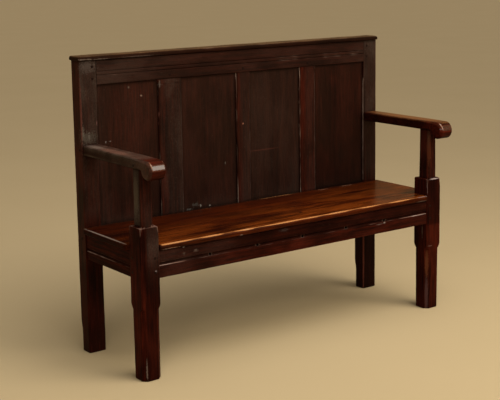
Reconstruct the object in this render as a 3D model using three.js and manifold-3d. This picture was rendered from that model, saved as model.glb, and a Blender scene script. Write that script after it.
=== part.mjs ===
// Joined oak settle bench: a panelled back, open arms with rolled fronts and a board seat on four legs.
// Millimetres. +X runs along the seat, +Y to the back, +Z up. While the pieces are made, y = 0 is the
// front face of the front legs and z = 0 the floor. The group then moves so that its origin lies on the
// floor under the middle of the whole bench.
import * as THREE from "three";
import { mergeVertices } from "three/addons/utils/BufferGeometryUtils.js";
import Module from "manifold-3d";

const wasm = await Module();
wasm.setup();

// Frame
const frameLength = 1312; // over the outer faces of the posts
const frameDepth = 413; // front face of the front legs to back face of the rear posts
const seatTop = 440;
const seatRailWidth = 89; // upright width of the four rails under the seat
const postTop = 1000; // the rear posts end here, under the cap

// Working allowances
const fit = 0.3; // gap between a piece and its seat
const overrun = 5; // how far a cutter runs past the timber
const weld = 0.001; // points nearer than this are one point
const arris = 1.5; // worn corner along a timber

// Front posts: leg, block and arm support in one timber
const legWidth = 69;
const legDepth = 69;
const legChamfer = 12; // the leg is eight-sided below the stop
const legStopDrop = 78; // the chamfer starts this far below the seat rails
const legStopRun = 22; // and is full after this length
const footWear = 3; // height of the worn edge at the floor
const blockRise = 61; // height of the square block above the seat
const blockRound = 4; // height of the worn rounding at the block's top
const blockRoundIn = 2; // how far it comes in
const supportBaseWidth = 43;
const supportBaseDepth = 58;
const supportTopWidth = 41;
const supportTopDepth = 54;
const supportChamfer = 8;

// Rear posts
const postWidth = 65;
const postDepth = 54;
const postFootChamfer = 8; // on the back corners
const postStopTop = 115; // the foot's chamfer starts here
const postStopRun = 45;
const postFrontWear = 4; // the front corners are worn this far, up to near the seat rails
const postPanelChamfer = 5; // along the front corner beside the end panels
const postPanelStopDrop = 58; // that chamfer ends this far below the top rail
const postPanelStopRun = 22;

// Arms
const armTop = 719;
const armThickness = 33;
const armWidth = 62;
const armInset = 4; // the arm's outer face lies inside the posts' outer faces
const rollRadius = 31;
const rollReach = 67; // front of the roll ahead of the front legs
const armEdge = 3; // eased edges along the arm
const rollEdge = 8; // the roll's ends are chamfered this wide
const rollEdgeRun = 80; // the arm's edges widen to the roll's over this length
const armPostTenonWidth = 14;
const armPostTenonHeight = 24;
const armPostTenonLength = 38;
const supportTenonWidth = 20;
const supportTenonDepth = 34;
const supportTenonHeight = 21;

// Seat board
const seatThickness = 20;
const seatNoseProud = 3.5; // the nosing stands this far ahead of the legs
const seatEndProud = 10; // the ends stand this far outside the posts
const seatTopRound = 9;
const seatUnderRound = 5;
const seatFrontCorner = 22; // plan radius beside the front posts
const seatBackCorner = 9; // plan radius beside the rear posts

// Seat rails
const frontRailThickness = 30;
const frontRailSetback = 3; // behind the front face of the legs
const sideRailThickness = 28;
const sideRailInset = 4; // inside the outer faces of the posts
const railTenon = 10; // tenon thickness of the seat rails
const railTenonShoulder = 12; // above and below the tenon
const frontTenonLength = 48;
const sideTenonLength = 41;
const frontChannelUp = 41; // from the rail's underside to the channel's lower edge
const sideChannelUp = 30;
const channelWidth = 10;
const channelDepth = 4;
const channelRound = 2;
const cordHoleRadius = 5.5;
const cordHolePlaceShares = [-0.332, -0.168, -0.003, 0.165, 0.32]; // of the rail's clear length

// Back frame
const backFrameThickness = 28;
const topRailWidth = 82;
const grooveWidth = 9; // the plough and the mortise share this width
const grooveDepth = 10;
const panelRecess = 9; // the panels lie this far behind the frame's face
const backTenonLength = 36;
const topRailHaunch = 12;
const mouldingUp = 32; // from the rail's underside to the moulding's lower line
const mouldingWidth = 12; // distance between its two lines
const quirkWidth = 3;
const quirkDepth = 2;
const muntinWidths = [94, 60, 74];
const muntinCentreShares = [-0.257, 0.008, 0.262]; // of the clear length between the rear posts
const muntinTenonLength = 35;
const muntinChamfer = 4;
const muntinFlare = 8; // the left chamfer widens to this at the top rail
const muntinFlareLength = 46;
const muntinStopDrop = 30; // the right chamfer stops this far below the top rail
const muntinStopRun = 14;
const cornerWeb = 20; // rounded timber left in the corner of the first opening, under the top rail

// Panels
const panelThickness = 12;
const panelBevelWidth = 28; // feathered margin on the back
const panelPlay = 3; // room for the board to swell, at each edge

// Cap board
const capThickness = 16;
const capEndProud = 5;
const capFrontProud = 7;
const capBackProud = 3;
const capTopRound = 7;
const capUnderRound = 4;

// Batten under the back edge of the seat
const battenDepth = 22;
const battenHeight = 30;
const battenPegPlaceShares = [-0.38, -0.12, 0.38]; // of the batten's length

// Drawbore pegs
const pegRadius = 4.6;
const pegTaper = 0.7; // the tip is this much slimmer in radius
const pegProud = 0.8;
const pegSoft = 0.6; // softened edge of the head
const pegSides = 8;
const pegSetback = 16; // from the tenon's shoulder
const pegSetbackDeep = 25; // where another tenon crosses near the shoulder
const pegInset = 21; // from the rail's edge
const legPegLength = 42;
const backPegLength = 40;
const sidePegLength = 38;
const muntinPegLength = 26;
const muntinPegSetback = 14;
const armPegLength = 48;
const armPostPegLength = 46;
const battenPegLength = 42;
const capPegLength = 46;
const capPostPegSetback = 36; // behind the front face of the rear posts
const capRailPegPlaceShares = [-0.17, 0.18]; // of the frame's length
const holeSides = 12;
const holePlay = 0.35; // radial room round a peg
const holeTip = 1.5; // empty depth past the tip

// How finely curves are cut
const arcSteps = 5;
const rollSides = 56;
const stopSteps = 7;

// Derived places
const half = frameLength / 2;
const legInner = half - legWidth;
const postInner = half - postWidth;
const postFace = frameDepth - postDepth;
const seatUnder = seatTop - seatThickness;
const railUnderside = seatUnder - seatRailWidth;
const frontChannelLip = railUnderside + frontChannelUp;
const sideChannelLip = railUnderside + sideChannelUp;
const legStopTop = railUnderside - legStopDrop;
const blockTop = seatTop + blockRise;
const topRailUnderside = postTop - topRailWidth;
const mouldingHeight = topRailUnderside + mouldingUp;
const postPanelStopTop = topRailUnderside - postPanelStopDrop;
const seatEnd = half + seatEndProud;
const armUnder = armTop - armThickness;
const armOuter = half - armInset;
const armInner = armOuter - armWidth;
const armMiddle = (armInner + armOuter) / 2;
const armMidHeight = (armUnder + armTop) / 2;
const rollCentreY = rollRadius - rollReach;
const rollCentreZ = armTop - rollRadius;
const grooveFront = postFace + panelRecess;
const grooveBack = grooveFront + grooveWidth;
const backFrameBack = postFace + backFrameThickness;
const railTenonFoot = railUnderside + railTenonShoulder;
const railTenonTop = seatUnder - railTenonShoulder;
const frontTenonFace = frontRailSetback + (frontRailThickness - railTenon) / 2;
const sideTenonOuter = half - sideRailInset - (sideRailThickness - railTenon) / 2;
const sideTenonInner = sideTenonOuter - railTenon;
const lowPeg = railUnderside + pegInset;
const highPeg = seatUnder - pegInset;
const topRailLowPeg = topRailUnderside + pegInset;
const topRailHighPeg = postTop - pegInset;
const frontmost = -rollReach;
const rearmost = frameDepth + capBackProud;

const X = new THREE.Vector3(1, 0, 0);
const Y = new THREE.Vector3(0, 1, 0);
const Z = new THREE.Vector3(0, 0, 1);

// Solids from geometry

function toSolid(geometry) {
  geometry.deleteAttribute("normal");
  geometry.deleteAttribute("uv");
  const merged = mergeVertices(geometry, weld);
  return new wasm.Manifold(
    new wasm.Mesh({
      numProp: 3,
      vertProperties: merged.attributes.position.array,
      triVerts: new Uint32Array(merged.index.array),
    }),
  );
}

function toGeometry(solid) {
  const mesh = solid.getMesh();
  const geometry = new THREE.BufferGeometry();
  geometry.setAttribute("position", new THREE.BufferAttribute(mesh.vertProperties, 3));
  geometry.setIndex(new THREE.BufferAttribute(mesh.triVerts, 1));
  geometry.computeVertexNormals();
  return geometry;
}

// The same piece for the other end of the bench.
function mirrorX(geometry) {
  const other = geometry.clone().scale(-1, 1, 1);
  const index = other.index;
  for (let i = 0; i < index.count; i += 3) {
    const kept = index.getX(i + 1);
    index.setX(i + 1, index.getX(i + 2));
    index.setX(i + 2, kept);
  }
  other.computeVertexNormals();
  return other;
}

function block(x0, x1, y0, y1, z0, z1) {
  const geometry = new THREE.BoxGeometry(x1 - x0, y1 - y0, z1 - z0);
  geometry.translate((x0 + x1) / 2, (y0 + y1) / 2, (z0 + z1) / 2);
  return toSolid(geometry);
}

// The room that a tenon needs: its block, larger by the fit on every side.
function room(x0, x1, y0, y1, z0, z1) {
  return block(x0 - fit, x1 + fit, y0 - fit, y1 + fit, z0 - fit, z1 + fit);
}

// A closed body through sections of equally many points, each anticlockwise seen from the last one.
function loft(sections) {
  const count = sections[0].length;
  const last = (sections.length - 1) * count;
  const faces = [];
  for (let s = 0; s + 1 < sections.length; s++) {
    for (let i = 0; i < count; i++) {
      const a = s * count + i;
      const b = s * count + ((i + 1) % count);
      faces.push(a, b, b + count, a, b + count, a + count);
    }
  }
  for (let i = 1; i + 1 < count; i++) {
    faces.push(0, i + 1, i);
    faces.push(last, last + i, last + i + 1);
  }
  const geometry = new THREE.BufferGeometry();
  geometry.setFromPoints(sections.flat());
  geometry.setIndex(faces);
  return toSolid(geometry);
}

// A rectangle across an upright timber. Its corners are cut off in the order front left, front right,
// back right, back left.
function cutSection(x0, x1, y0, y1, z, cuts) {
  const [frontLeft, frontRight, backRight, backLeft] = cuts;
  return [
    new THREE.Vector3(x0 + frontLeft, y0, z),
    new THREE.Vector3(x1 - frontRight, y0, z),
    new THREE.Vector3(x1, y0 + frontRight, z),
    new THREE.Vector3(x1, y1 - backRight, z),
    new THREE.Vector3(x1 - backRight, y1, z),
    new THREE.Vector3(x0 + backLeft, y1, z),
    new THREE.Vector3(x0, y1 - backLeft, z),
    new THREE.Vector3(x0, y0 + frontLeft, z),
  ];
}

function evenSection(x0, x1, y0, y1, z, cut) {
  return cutSection(x0, x1, y0, y1, z, [cut, cut, cut, cut]);
}

// A profile drawn as (y, z) and run along X.
function runAlongX(shape, x0, x1, curveSegments) {
  const geometry = new THREE.ExtrudeGeometry(shape, {
    depth: x1 - x0,
    bevelEnabled: false,
    curveSegments,
  });
  geometry.applyMatrix4(new THREE.Matrix4().makeBasis(Y, Z, X));
  geometry.translate(x0, 0, 0);
  return toSolid(geometry);
}

// A profile drawn as (x, z) and run along Y.
function runAlongY(shape, y0, y1, curveSegments) {
  const geometry = new THREE.ExtrudeGeometry(shape, {
    depth: y1 - y0,
    bevelEnabled: false,
    curveSegments,
  });
  geometry.applyMatrix4(new THREE.Matrix4().makeBasis(X, Z, Y.clone().negate()));
  geometry.translate(0, y1, 0);
  return toSolid(geometry);
}

function shapeOf(points) {
  return new THREE.Shape(points.map(([u, v]) => new THREE.Vector2(u, v)));
}

// Round rods: pegs and the holes for them

const frames = {
  x: { along: X, across: Y, up: Z },
  y: { along: Y, across: Z, up: X },
  z: { along: Z, across: X, up: Y },
};

// A rod along an axis. line is a point on its centre line with zero along that axis, and each station
// is a place along the axis, rising, and a radius.
function rod(axis, line, stations, sides) {
  const { along, across, up } = frames[axis];
  const sections = stations.map(([place, radius]) =>
    Array.from({ length: sides }, (_, i) => {
      const angle = (2 * Math.PI * (i + 0.5)) / sides;
      return line
        .clone()
        .addScaledVector(along, place)
        .addScaledVector(across, radius * Math.cos(angle))
        .addScaledVector(up, radius * Math.sin(angle));
    }),
  );
  return loft(sections);
}

// A peg driven from a face: face is the face's place along the axis, way is +1 or -1, the sense in
// which the peg is driven.
function pegAt(axis, line, face, way, length) {
  const stations = [
    [face - way * pegProud, pegRadius - pegSoft],
    [face - way * (pegProud - pegSoft), pegRadius],
    [face + way * length, pegRadius - pegTaper],
  ];
  return rod(axis, line, way > 0 ? stations : stations.reverse(), pegSides);
}

function pegHole(axis, line, face, way, length) {
  const stations = [
    [face - way * overrun, pegRadius + holePlay],
    [face + way * (length + holeTip), pegRadius + holePlay],
  ];
  return rod(axis, line, way > 0 ? stations : stations.reverse(), holeSides);
}

// Every peg is described once, for itself and for its hole.
function makePeg(p) {
  return pegAt(p.axis, p.line, p.face, p.way, p.length);
}

function drill(solid, pegs) {
  return pegs.reduce((left, p) => left.subtract(pegHole(p.axis, p.line, p.face, p.way, p.length)), solid);
}

const frontRailPegs = [lowPeg, highPeg].map((z) => ({
  axis: "y",
  line: new THREE.Vector3(legInner + pegSetback, 0, z),
  face: 0,
  way: 1,
  length: legPegLength,
}));

const sideRailPegs = [legDepth - pegSetback, postFace + pegSetbackDeep].flatMap((y) =>
  [lowPeg, highPeg].map((z) => ({
    axis: "x",
    line: new THREE.Vector3(0, y, z),
    face: half,
    way: -1,
    length: sidePegLength,
  })),
);

const backRailPegs = [lowPeg, highPeg].map((z) => ({
  axis: "y",
  line: new THREE.Vector3(postInner + pegSetback, 0, z),
  face: postFace,
  way: 1,
  length: backPegLength,
}));

const topRailPegs = [topRailLowPeg, topRailHighPeg].map((z) => ({
  axis: "y",
  line: new THREE.Vector3(postInner + pegSetback, 0, z),
  face: postFace,
  way: 1,
  length: backPegLength,
}));

const armPegs = [
  {
    axis: "x",
    line: new THREE.Vector3(0, legDepth / 2, armUnder + supportTenonHeight / 2),
    face: armOuter,
    way: -1,
    length: armPegLength,
  },
  {
    axis: "x",
    line: new THREE.Vector3(0, postFace + pegSetback, armMidHeight),
    face: half,
    way: -1,
    length: armPostPegLength,
  },
];

const clearLength = 2 * postInner;
const muntins = muntinWidths.map((width, i) => ({
  width,
  centre: muntinCentreShares[i] * clearLength,
}));

// The upper peg is driven from the front, and the lower one from behind, where the batten is not in
// its way.
function muntinPegs(muntin) {
  return [
    {
      axis: "y",
      line: new THREE.Vector3(muntin.centre, 0, topRailUnderside + muntinPegSetback),
      face: postFace,
      way: 1,
      length: muntinPegLength,
    },
    {
      axis: "y",
      line: new THREE.Vector3(muntin.centre, 0, seatUnder - muntinPegSetback),
      face: backFrameBack,
      way: -1,
      length: muntinPegLength,
    },
  ];
}

const battenHalf = postInner - fit;
const battenPegs = battenPegPlaceShares.map((share) => ({
  axis: "y",
  line: new THREE.Vector3(2 * battenHalf * share, 0, seatUnder - battenHeight / 2),
  face: postFace - battenDepth,
  way: 1,
  length: battenPegLength,
}));

// The cap's pegs are planed off level with its top.
const capPegFace = postTop + capThickness - pegProud;
const capRailPegs = capRailPegPlaceShares.map((share) => ({
  axis: "z",
  line: new THREE.Vector3(frameLength * share, postFace + backFrameThickness / 2, 0),
  face: capPegFace,
  way: -1,
  length: capPegLength,
}));
const capPostPegs = [-1, 1].map((side) => ({
  axis: "z",
  line: new THREE.Vector3(side * (half - postWidth / 2), postFace + capPostPegSetback, 0),
  face: capPegFace,
  way: -1,
  length: capPegLength,
}));

// Front post at the right end

// From 0 at the stop's top to 1 at its foot, hollowed as a chisel leaves it.
function hollowShare(share) {
  return share * share;
}

function legSections() {
  const sections = [];
  const across = [legInner, half, 0, legDepth];
  const inner = [legInner + footWear, half - footWear, footWear, legDepth - footWear];
  sections.push(evenSection(...inner, 0, legChamfer));
  sections.push(evenSection(...across, footWear, legChamfer));
  for (let i = stopSteps; i >= 0; i--) {
    const share = i / stopSteps;
    const z = legStopTop - legStopRun * share;
    const cut = arris + (legChamfer - arris) * hollowShare(share);
    sections.push(evenSection(...across, z, cut));
  }
  return sections;
}

// The block's worn top, then the step in to the arm support.
function blockSections() {
  const sections = [];
  for (let i = 0; i <= arcSteps; i++) {
    const angle = (Math.PI / 2) * (i / arcSteps);
    const inset = blockRoundIn * (1 - Math.cos(angle));
    const z = blockTop - blockRound * (1 - Math.sin(angle));
    sections.push(evenSection(legInner + inset, half - inset, inset, legDepth - inset, z, arris + inset));
  }
  return sections;
}

function centredSection(width, depth, z, cut) {
  const middle = half - legWidth / 2;
  const centre = legDepth / 2;
  return evenSection(middle - width / 2, middle + width / 2, centre - depth / 2, centre + depth / 2, z, cut);
}

function frontPost() {
  const shoulder = armUnder - fit;
  const tenonTop = armUnder + supportTenonHeight;
  let post = loft([
    ...legSections(),
    ...blockSections(),
    centredSection(supportBaseWidth, supportBaseDepth, blockTop, supportChamfer),
    centredSection(supportTopWidth, supportTopDepth, shoulder, supportChamfer),
    centredSection(supportTenonWidth, supportTenonDepth, shoulder, arris),
    centredSection(supportTenonWidth, supportTenonDepth, tenonTop, arris),
  ]);
  post = post.subtract(frontRailTenonRoom());
  post = post.subtract(sideRailFrontTenonRoom());
  return drill(post, [...frontRailPegs, ...sideRailPegs, armPegs[0]]);
}

function frontRailTenonRoom() {
  return room(
    legInner - overrun,
    legInner + frontTenonLength,
    frontTenonFace,
    frontTenonFace + railTenon,
    railTenonFoot,
    railTenonTop,
  );
}

function sideRailFrontTenonRoom() {
  return room(
    sideTenonInner,
    sideTenonOuter,
    legDepth - sideTenonLength,
    legDepth + overrun,
    railTenonFoot,
    railTenonTop,
  );
}

// Rear post at the right end

// Eased from 0 at the stop's top to 1 at its foot, as a lamb's tongue.
function tongueShare(share) {
  return (1 - Math.cos(Math.PI * share)) / 2;
}

function rearPost() {
  const across = [postInner, half, postFace, frameDepth];
  const inner = [postInner + arris, half - arris, postFace + arris, frameDepth - arris];
  const panelCuts = [postPanelChamfer, arris, arris, arris];
  const legCuts = (back) => [postFrontWear, postFrontWear, back, back];
  const sections = [
    cutSection(...inner, 0, legCuts(postFootChamfer)),
    cutSection(...across, arris, legCuts(postFootChamfer)),
  ];
  for (let i = stopSteps; i >= 0; i--) {
    const share = i / stopSteps;
    const z = postStopTop - postStopRun * share;
    const cut = arris + (postFootChamfer - arris) * tongueShare(share);
    sections.push(cutSection(...across, z, legCuts(cut)));
  }
  sections.push(cutSection(...across, railUnderside - postStopRun, legCuts(arris)));
  sections.push(evenSection(...across, railUnderside, arris));
  sections.push(evenSection(...across, seatUnder, arris));
  sections.push(cutSection(...across, seatTop, panelCuts));
  sections.push(cutSection(...across, postPanelStopTop - postPanelStopRun, panelCuts));
  sections.push(evenSection(...across, postPanelStopTop, arris));
  sections.push(evenSection(...across, postTop - fit, arris));
  let post = loft(sections);
  const low = seatUnder - grooveDepth;
  const high = topRailUnderside + grooveDepth;
  post = post.subtract(panelGroove(postInner - overrun, postInner + grooveDepth, low, high));
  post = post.subtract(backRailTenonRoom());
  post = post.subtract(topRailTenonRoom());
  post = post.subtract(sideRailBackTenonRoom());
  post = post.subtract(armPostTenonRoom());
  return drill(post, [...backRailPegs, ...topRailPegs, ...sideRailPegs, armPegs[1], capPostPegs[1]]);
}

function panelGroove(x0, x1, z0, z1) {
  return block(x0, x1, grooveFront, grooveBack, z0, z1);
}

function backRailTenonRoom() {
  return room(
    postInner - overrun,
    postInner + backTenonLength,
    grooveFront + fit,
    grooveBack - fit,
    railTenonFoot,
    railTenonTop,
  );
}

function topRailTenonRoom() {
  return room(
    postInner - overrun,
    postInner + backTenonLength,
    grooveFront + fit,
    grooveBack - fit,
    topRailUnderside,
    postTop - topRailHaunch,
  );
}

function sideRailBackTenonRoom() {
  return room(
    sideTenonInner,
    sideTenonOuter,
    postFace - overrun,
    postFace + sideTenonLength,
    railTenonFoot,
    railTenonTop,
  );
}

function armPostTenon(grow) {
  return block(
    armMiddle - armPostTenonWidth / 2 - grow,
    armMiddle + armPostTenonWidth / 2 + grow,
    postFace - overrun,
    postFace + armPostTenonLength + grow,
    armMidHeight - armPostTenonHeight / 2 - grow,
    armMidHeight + armPostTenonHeight / 2 + grow,
  );
}

function armPostTenonRoom() {
  return armPostTenon(fit);
}

// Arm at the right end

// A straight bar whose edges widen towards the front.
function armBar() {
  const bar = (y, cut) => {
    const section = evenSection(armInner, armOuter, -armTop, -armUnder, y, cut);
    return section.map((point) => new THREE.Vector3(point.x, point.z, -point.y));
  };
  return loft([bar(rollCentreY, rollEdge), bar(rollCentreY + rollEdgeRun, armEdge), bar(postFace - fit, armEdge)]);
}

// The roll that ends the arm and hangs below it.
function armRoll() {
  const end = armWidth / 2;
  const outline = [
    [0, -end],
    [rollRadius - rollEdge, -end],
    [rollRadius, -end + rollEdge],
    [rollRadius, end - rollEdge],
    [rollRadius - rollEdge, end],
    [0, end],
  ];
  const geometry = new THREE.LatheGeometry(
    outline.map(([radius, height]) => new THREE.Vector2(radius, height)),
    rollSides,
  );
  geometry.rotateZ(-Math.PI / 2);
  geometry.translate(armMiddle, rollCentreY, rollCentreZ);
  return toSolid(geometry);
}

function arm() {
  let bar = armBar().add(armRoll());
  bar = bar.add(armPostTenon(0));
  const middle = half - legWidth / 2;
  const mortise = room(
    middle - supportTenonWidth / 2,
    middle + supportTenonWidth / 2,
    (legDepth - supportTenonDepth) / 2,
    (legDepth + supportTenonDepth) / 2,
    armUnder - overrun,
    armUnder + supportTenonHeight,
  );
  bar = bar.subtract(mortise);
  return drill(bar, armPegs);
}

// Seat rails

// Section of a seat rail as (depth from its show face, height), with the scratched channel.
function railSection(thickness, lip) {
  const top = seatUnder - fit;
  const channelTop = lip + channelWidth;
  return [
    [arris, railUnderside],
    [thickness - arris, railUnderside],
    [thickness, railUnderside + arris],
    [thickness, top],
    [0, top],
    [0, channelTop],
    [channelDepth, channelTop - channelRound],
    [channelDepth, lip + channelRound],
    [channelRound, lip],
    [0, lip - channelRound],
    [0, railUnderside + arris],
  ];
}

function frontSeatRail() {
  const shoulder = legInner - fit;
  const section = railSection(frontRailThickness, frontChannelLip).map(([y, z]) => [frontRailSetback + y, z]);
  let rail = runAlongX(shapeOf(section), -shoulder, shoulder, arcSteps);
  rail = rail.add(
    block(
      -legInner - frontTenonLength,
      legInner + frontTenonLength,
      frontTenonFace,
      frontTenonFace + railTenon,
      railTenonFoot,
      railTenonTop,
    ),
  );
  const holeHeight = frontChannelLip + channelWidth / 2;
  for (const share of cordHolePlaceShares) {
    const line = new THREE.Vector3(2 * legInner * share, 0, holeHeight);
    const stations = [
      [-overrun, cordHoleRadius],
      [frontRailSetback + frontRailThickness + overrun, cordHoleRadius],
    ];
    rail = rail.subtract(rod("y", line, stations, holeSides));
  }
  return drill(rail, [...frontRailPegs, ...otherEnd(frontRailPegs)]);
}

// The same pegs at the other end of the bench.
function otherEnd(pegs) {
  return pegs.map((p) => ({ ...p, line: new THREE.Vector3(-p.line.x, p.line.y, p.line.z) }));
}

function sideRail() {
  const outer = half - sideRailInset;
  const section = railSection(sideRailThickness, sideChannelLip).map(([depth, z]) => [outer - depth, z]);
  let rail = runAlongY(shapeOf(section), legDepth + fit, postFace - fit, arcSteps);
  rail = rail.add(
    block(
      sideTenonInner,
      sideTenonOuter,
      legDepth - sideTenonLength,
      postFace + sideTenonLength,
      railTenonFoot,
      railTenonTop,
    ),
  );
  return drill(rail, sideRailPegs);
}

// Seat board

// The board in plan: between the front legs it comes forward to its nosing, and beside them it runs
// out past the posts.
function seatPlan() {
  const side = legInner - fit;
  const behindLeg = legDepth + fit;
  const back = postFace - fit;
  const shape = new THREE.Shape();
  shape.moveTo(-side, -seatNoseProud);
  shape.lineTo(side, -seatNoseProud);
  shape.lineTo(side, behindLeg);
  shape.lineTo(seatEnd - seatFrontCorner, behindLeg);
  shape.absarc(seatEnd - seatFrontCorner, behindLeg + seatFrontCorner, seatFrontCorner, -Math.PI / 2, 0);
  shape.lineTo(seatEnd, back - seatBackCorner);
  shape.absarc(seatEnd - seatBackCorner, back - seatBackCorner, seatBackCorner, 0, Math.PI / 2);
  shape.lineTo(-seatEnd + seatBackCorner, back);
  shape.absarc(-seatEnd + seatBackCorner, back - seatBackCorner, seatBackCorner, Math.PI / 2, Math.PI);
  shape.lineTo(-seatEnd, behindLeg + seatFrontCorner);
  shape.absarc(-seatEnd + seatFrontCorner, behindLeg + seatFrontCorner, seatFrontCorner, Math.PI, 1.5 * Math.PI);
  shape.lineTo(-side, behindLeg);
  return shape;
}

// A board's edge seen end on: rounded above and below at u = edge, and plain past the far side.
function nosedEdge(edge, far, low, high, underRound, topRound) {
  const shape = new THREE.Shape();
  shape.moveTo(far, low);
  shape.lineTo(edge + underRound, low);
  shape.absarc(edge + underRound, low + underRound, underRound, -Math.PI / 2, -Math.PI, true);
  shape.lineTo(edge, high - topRound);
  shape.absarc(edge + topRound, high - topRound, topRound, Math.PI, Math.PI / 2, true);
  shape.lineTo(far, high);
  return shape;
}

// The same, rounded at both ends.
function nosedEnds(end, low, high, underRound, topRound) {
  const shape = new THREE.Shape();
  shape.moveTo(end - underRound, low);
  shape.absarc(end - underRound, low + underRound, underRound, -Math.PI / 2, 0);
  shape.lineTo(end, high - topRound);
  shape.absarc(end - topRound, high - topRound, topRound, 0, Math.PI / 2);
  shape.lineTo(-end + topRound, high);
  shape.absarc(-end + topRound, high - topRound, topRound, Math.PI / 2, Math.PI);
  shape.lineTo(-end, low + underRound);
  shape.absarc(-end + underRound, low + underRound, underRound, Math.PI, 1.5 * Math.PI);
  return shape;
}

function seatBoard() {
  const geometry = new THREE.ExtrudeGeometry(seatPlan(), {
    depth: seatThickness,
    bevelEnabled: false,
    curveSegments: arcSteps,
  });
  geometry.translate(0, 0, seatUnder);
  const plan = toSolid(geometry);
  const nose = runAlongX(
    nosedEdge(-seatNoseProud, frameDepth, seatUnder, seatTop, seatUnderRound, seatTopRound),
    -seatEnd - overrun,
    seatEnd + overrun,
    arcSteps,
  );
  const ends = runAlongY(
    nosedEnds(seatEnd, seatUnder, seatTop, seatUnderRound, seatTopRound),
    -seatNoseProud - overrun,
    frameDepth,
    arcSteps,
  );
  return plan.intersect(nose).intersect(ends);
}

function seatBatten() {
  const batten = block(
    -battenHalf,
    battenHalf,
    postFace - battenDepth,
    postFace - fit,
    seatUnder - battenHeight,
    seatUnder - fit,
  );
  return drill(batten, battenPegs);
}

// Back frame

// Section of the top rail as (y, z), with the two lines of its scratch moulding.
function topRailSection() {
  const top = postTop - fit;
  const upper = mouldingHeight + mouldingWidth;
  const quirk = (z) => [
    [postFace, z + quirkWidth / 2],
    [postFace + quirkDepth, z],
    [postFace, z - quirkWidth / 2],
  ];
  return [
    [postFace + arris, topRailUnderside],
    [backFrameBack, topRailUnderside],
    [backFrameBack, top],
    [postFace, top],
    ...quirk(upper),
    ...quirk(mouldingHeight),
    [postFace, topRailUnderside + arris],
  ];
}

function topRail() {
  const shoulder = postInner - fit;
  let rail = runAlongX(shapeOf(topRailSection()), -shoulder, shoulder, arcSteps);
  rail = rail.add(
    block(
      -postInner - backTenonLength,
      postInner + backTenonLength,
      grooveFront + fit,
      grooveBack - fit,
      topRailUnderside + grooveDepth,
      postTop - topRailHaunch,
    ),
  );
  rail = rail.subtract(panelGroove(-half, half, topRailUnderside - overrun, topRailUnderside + grooveDepth));
  for (const muntin of muntins) {
    rail = rail.subtract(muntinTenonRoom(muntin, topRailUnderside, topRailUnderside + muntinTenonLength));
    rail = drill(rail, [muntinPegs(muntin)[0]]);
  }
  return drill(rail, [...topRailPegs, ...otherEnd(topRailPegs), ...capRailPegs]);
}

function lowerBackRail() {
  const shoulder = postInner - fit;
  const section = [
    [postFace + arris, railUnderside],
    [backFrameBack - arris, railUnderside],
    [backFrameBack, railUnderside + arris],
    [backFrameBack, seatUnder],
    [postFace, seatUnder],
    [postFace, railUnderside + arris],
  ];
  let rail = runAlongX(shapeOf(section), -shoulder, shoulder, arcSteps);
  rail = rail.add(
    block(
      -postInner - backTenonLength,
      postInner + backTenonLength,
      grooveFront + fit,
      grooveBack - fit,
      railTenonFoot,
      railTenonTop,
    ),
  );
  rail = rail.subtract(panelGroove(-half, half, seatUnder - grooveDepth, seatUnder + overrun));
  for (const muntin of muntins) {
    rail = rail.subtract(muntinTenonRoom(muntin, seatUnder - muntinTenonLength, seatUnder));
    rail = drill(rail, [muntinPegs(muntin)[1]]);
  }
  return drill(rail, [...backRailPegs, ...otherEnd(backRailPegs), ...battenPegs]);
}

function muntinTenonRoom(muntin, z0, z1) {
  const reach = muntin.width / 2 - grooveDepth;
  return room(muntin.centre - reach, muntin.centre + reach, grooveFront + fit, grooveBack - fit, z0, z1);
}

function muntinPiece(muntin) {
  const x0 = muntin.centre - muntin.width / 2;
  const x1 = muntin.centre + muntin.width / 2;
  const top = topRailUnderside - fit;
  const across = [x0, x1, postFace, backFrameBack];
  const stopZ = topRailUnderside - muntinStopDrop;
  let piece = loft([
    cutSection(...across, seatUnder + fit, [muntinChamfer, muntinChamfer, arris, arris]),
    cutSection(...across, topRailUnderside - muntinFlareLength, [muntinChamfer, muntinChamfer, arris, arris]),
    cutSection(...across, stopZ, [
      muntinChamfer + (muntinFlare - muntinChamfer) * (1 - muntinStopDrop / muntinFlareLength),
      muntinChamfer,
      arris,
      arris,
    ]),
    cutSection(...across, stopZ + muntinStopRun, [
      muntinChamfer + (muntinFlare - muntinChamfer) * (1 - (muntinStopDrop - muntinStopRun) / muntinFlareLength),
      arris,
      arris,
      arris,
    ]),
    cutSection(...across, top, [muntinFlare, arris, arris, arris]),
  ]);
  const reach = muntin.width / 2 - grooveDepth;
  piece = piece.add(
    block(
      muntin.centre - reach,
      muntin.centre + reach,
      grooveFront + fit,
      grooveBack - fit,
      seatUnder - muntinTenonLength,
      topRailUnderside + muntinTenonLength,
    ),
  );
  for (const [from, to] of [
    [x0 - overrun, x0 + grooveDepth],
    [x1 - grooveDepth, x1 + overrun],
  ]) {
    piece = piece.subtract(panelGroove(from, to, seatUnder - overrun, topRailUnderside + overrun));
  }
  if (muntin === muntins[0]) {
    piece = piece.add(muntinCorner(x0, top));
  }
  return drill(piece, muntinPegs(muntin));
}

// The hollow-cut corner between a muntin's left side and the rail above it. It also ends the chamfer.
function muntinCorner(side, top) {
  const shape = new THREE.Shape();
  shape.moveTo(side + muntinFlare, top);
  shape.lineTo(side - cornerWeb, top);
  shape.absarc(side - cornerWeb, top - cornerWeb, cornerWeb, Math.PI / 2, 0, true);
  shape.lineTo(side + muntinFlare, top - cornerWeb - muntinFlare);
  return runAlongY(shape, postFace, grooveFront - fit, arcSteps);
}

// Panels

// Clear openings between posts and muntins, from left to right.
function panelOpenings() {
  const edges = [-postInner];
  for (const muntin of muntins) {
    edges.push(muntin.centre - muntin.width / 2, muntin.centre + muntin.width / 2);
  }
  edges.push(postInner);
  return muntins.map((_, i) => [edges[2 * i], edges[2 * i + 1]]).concat([edges.slice(-2)]);
}

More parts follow.
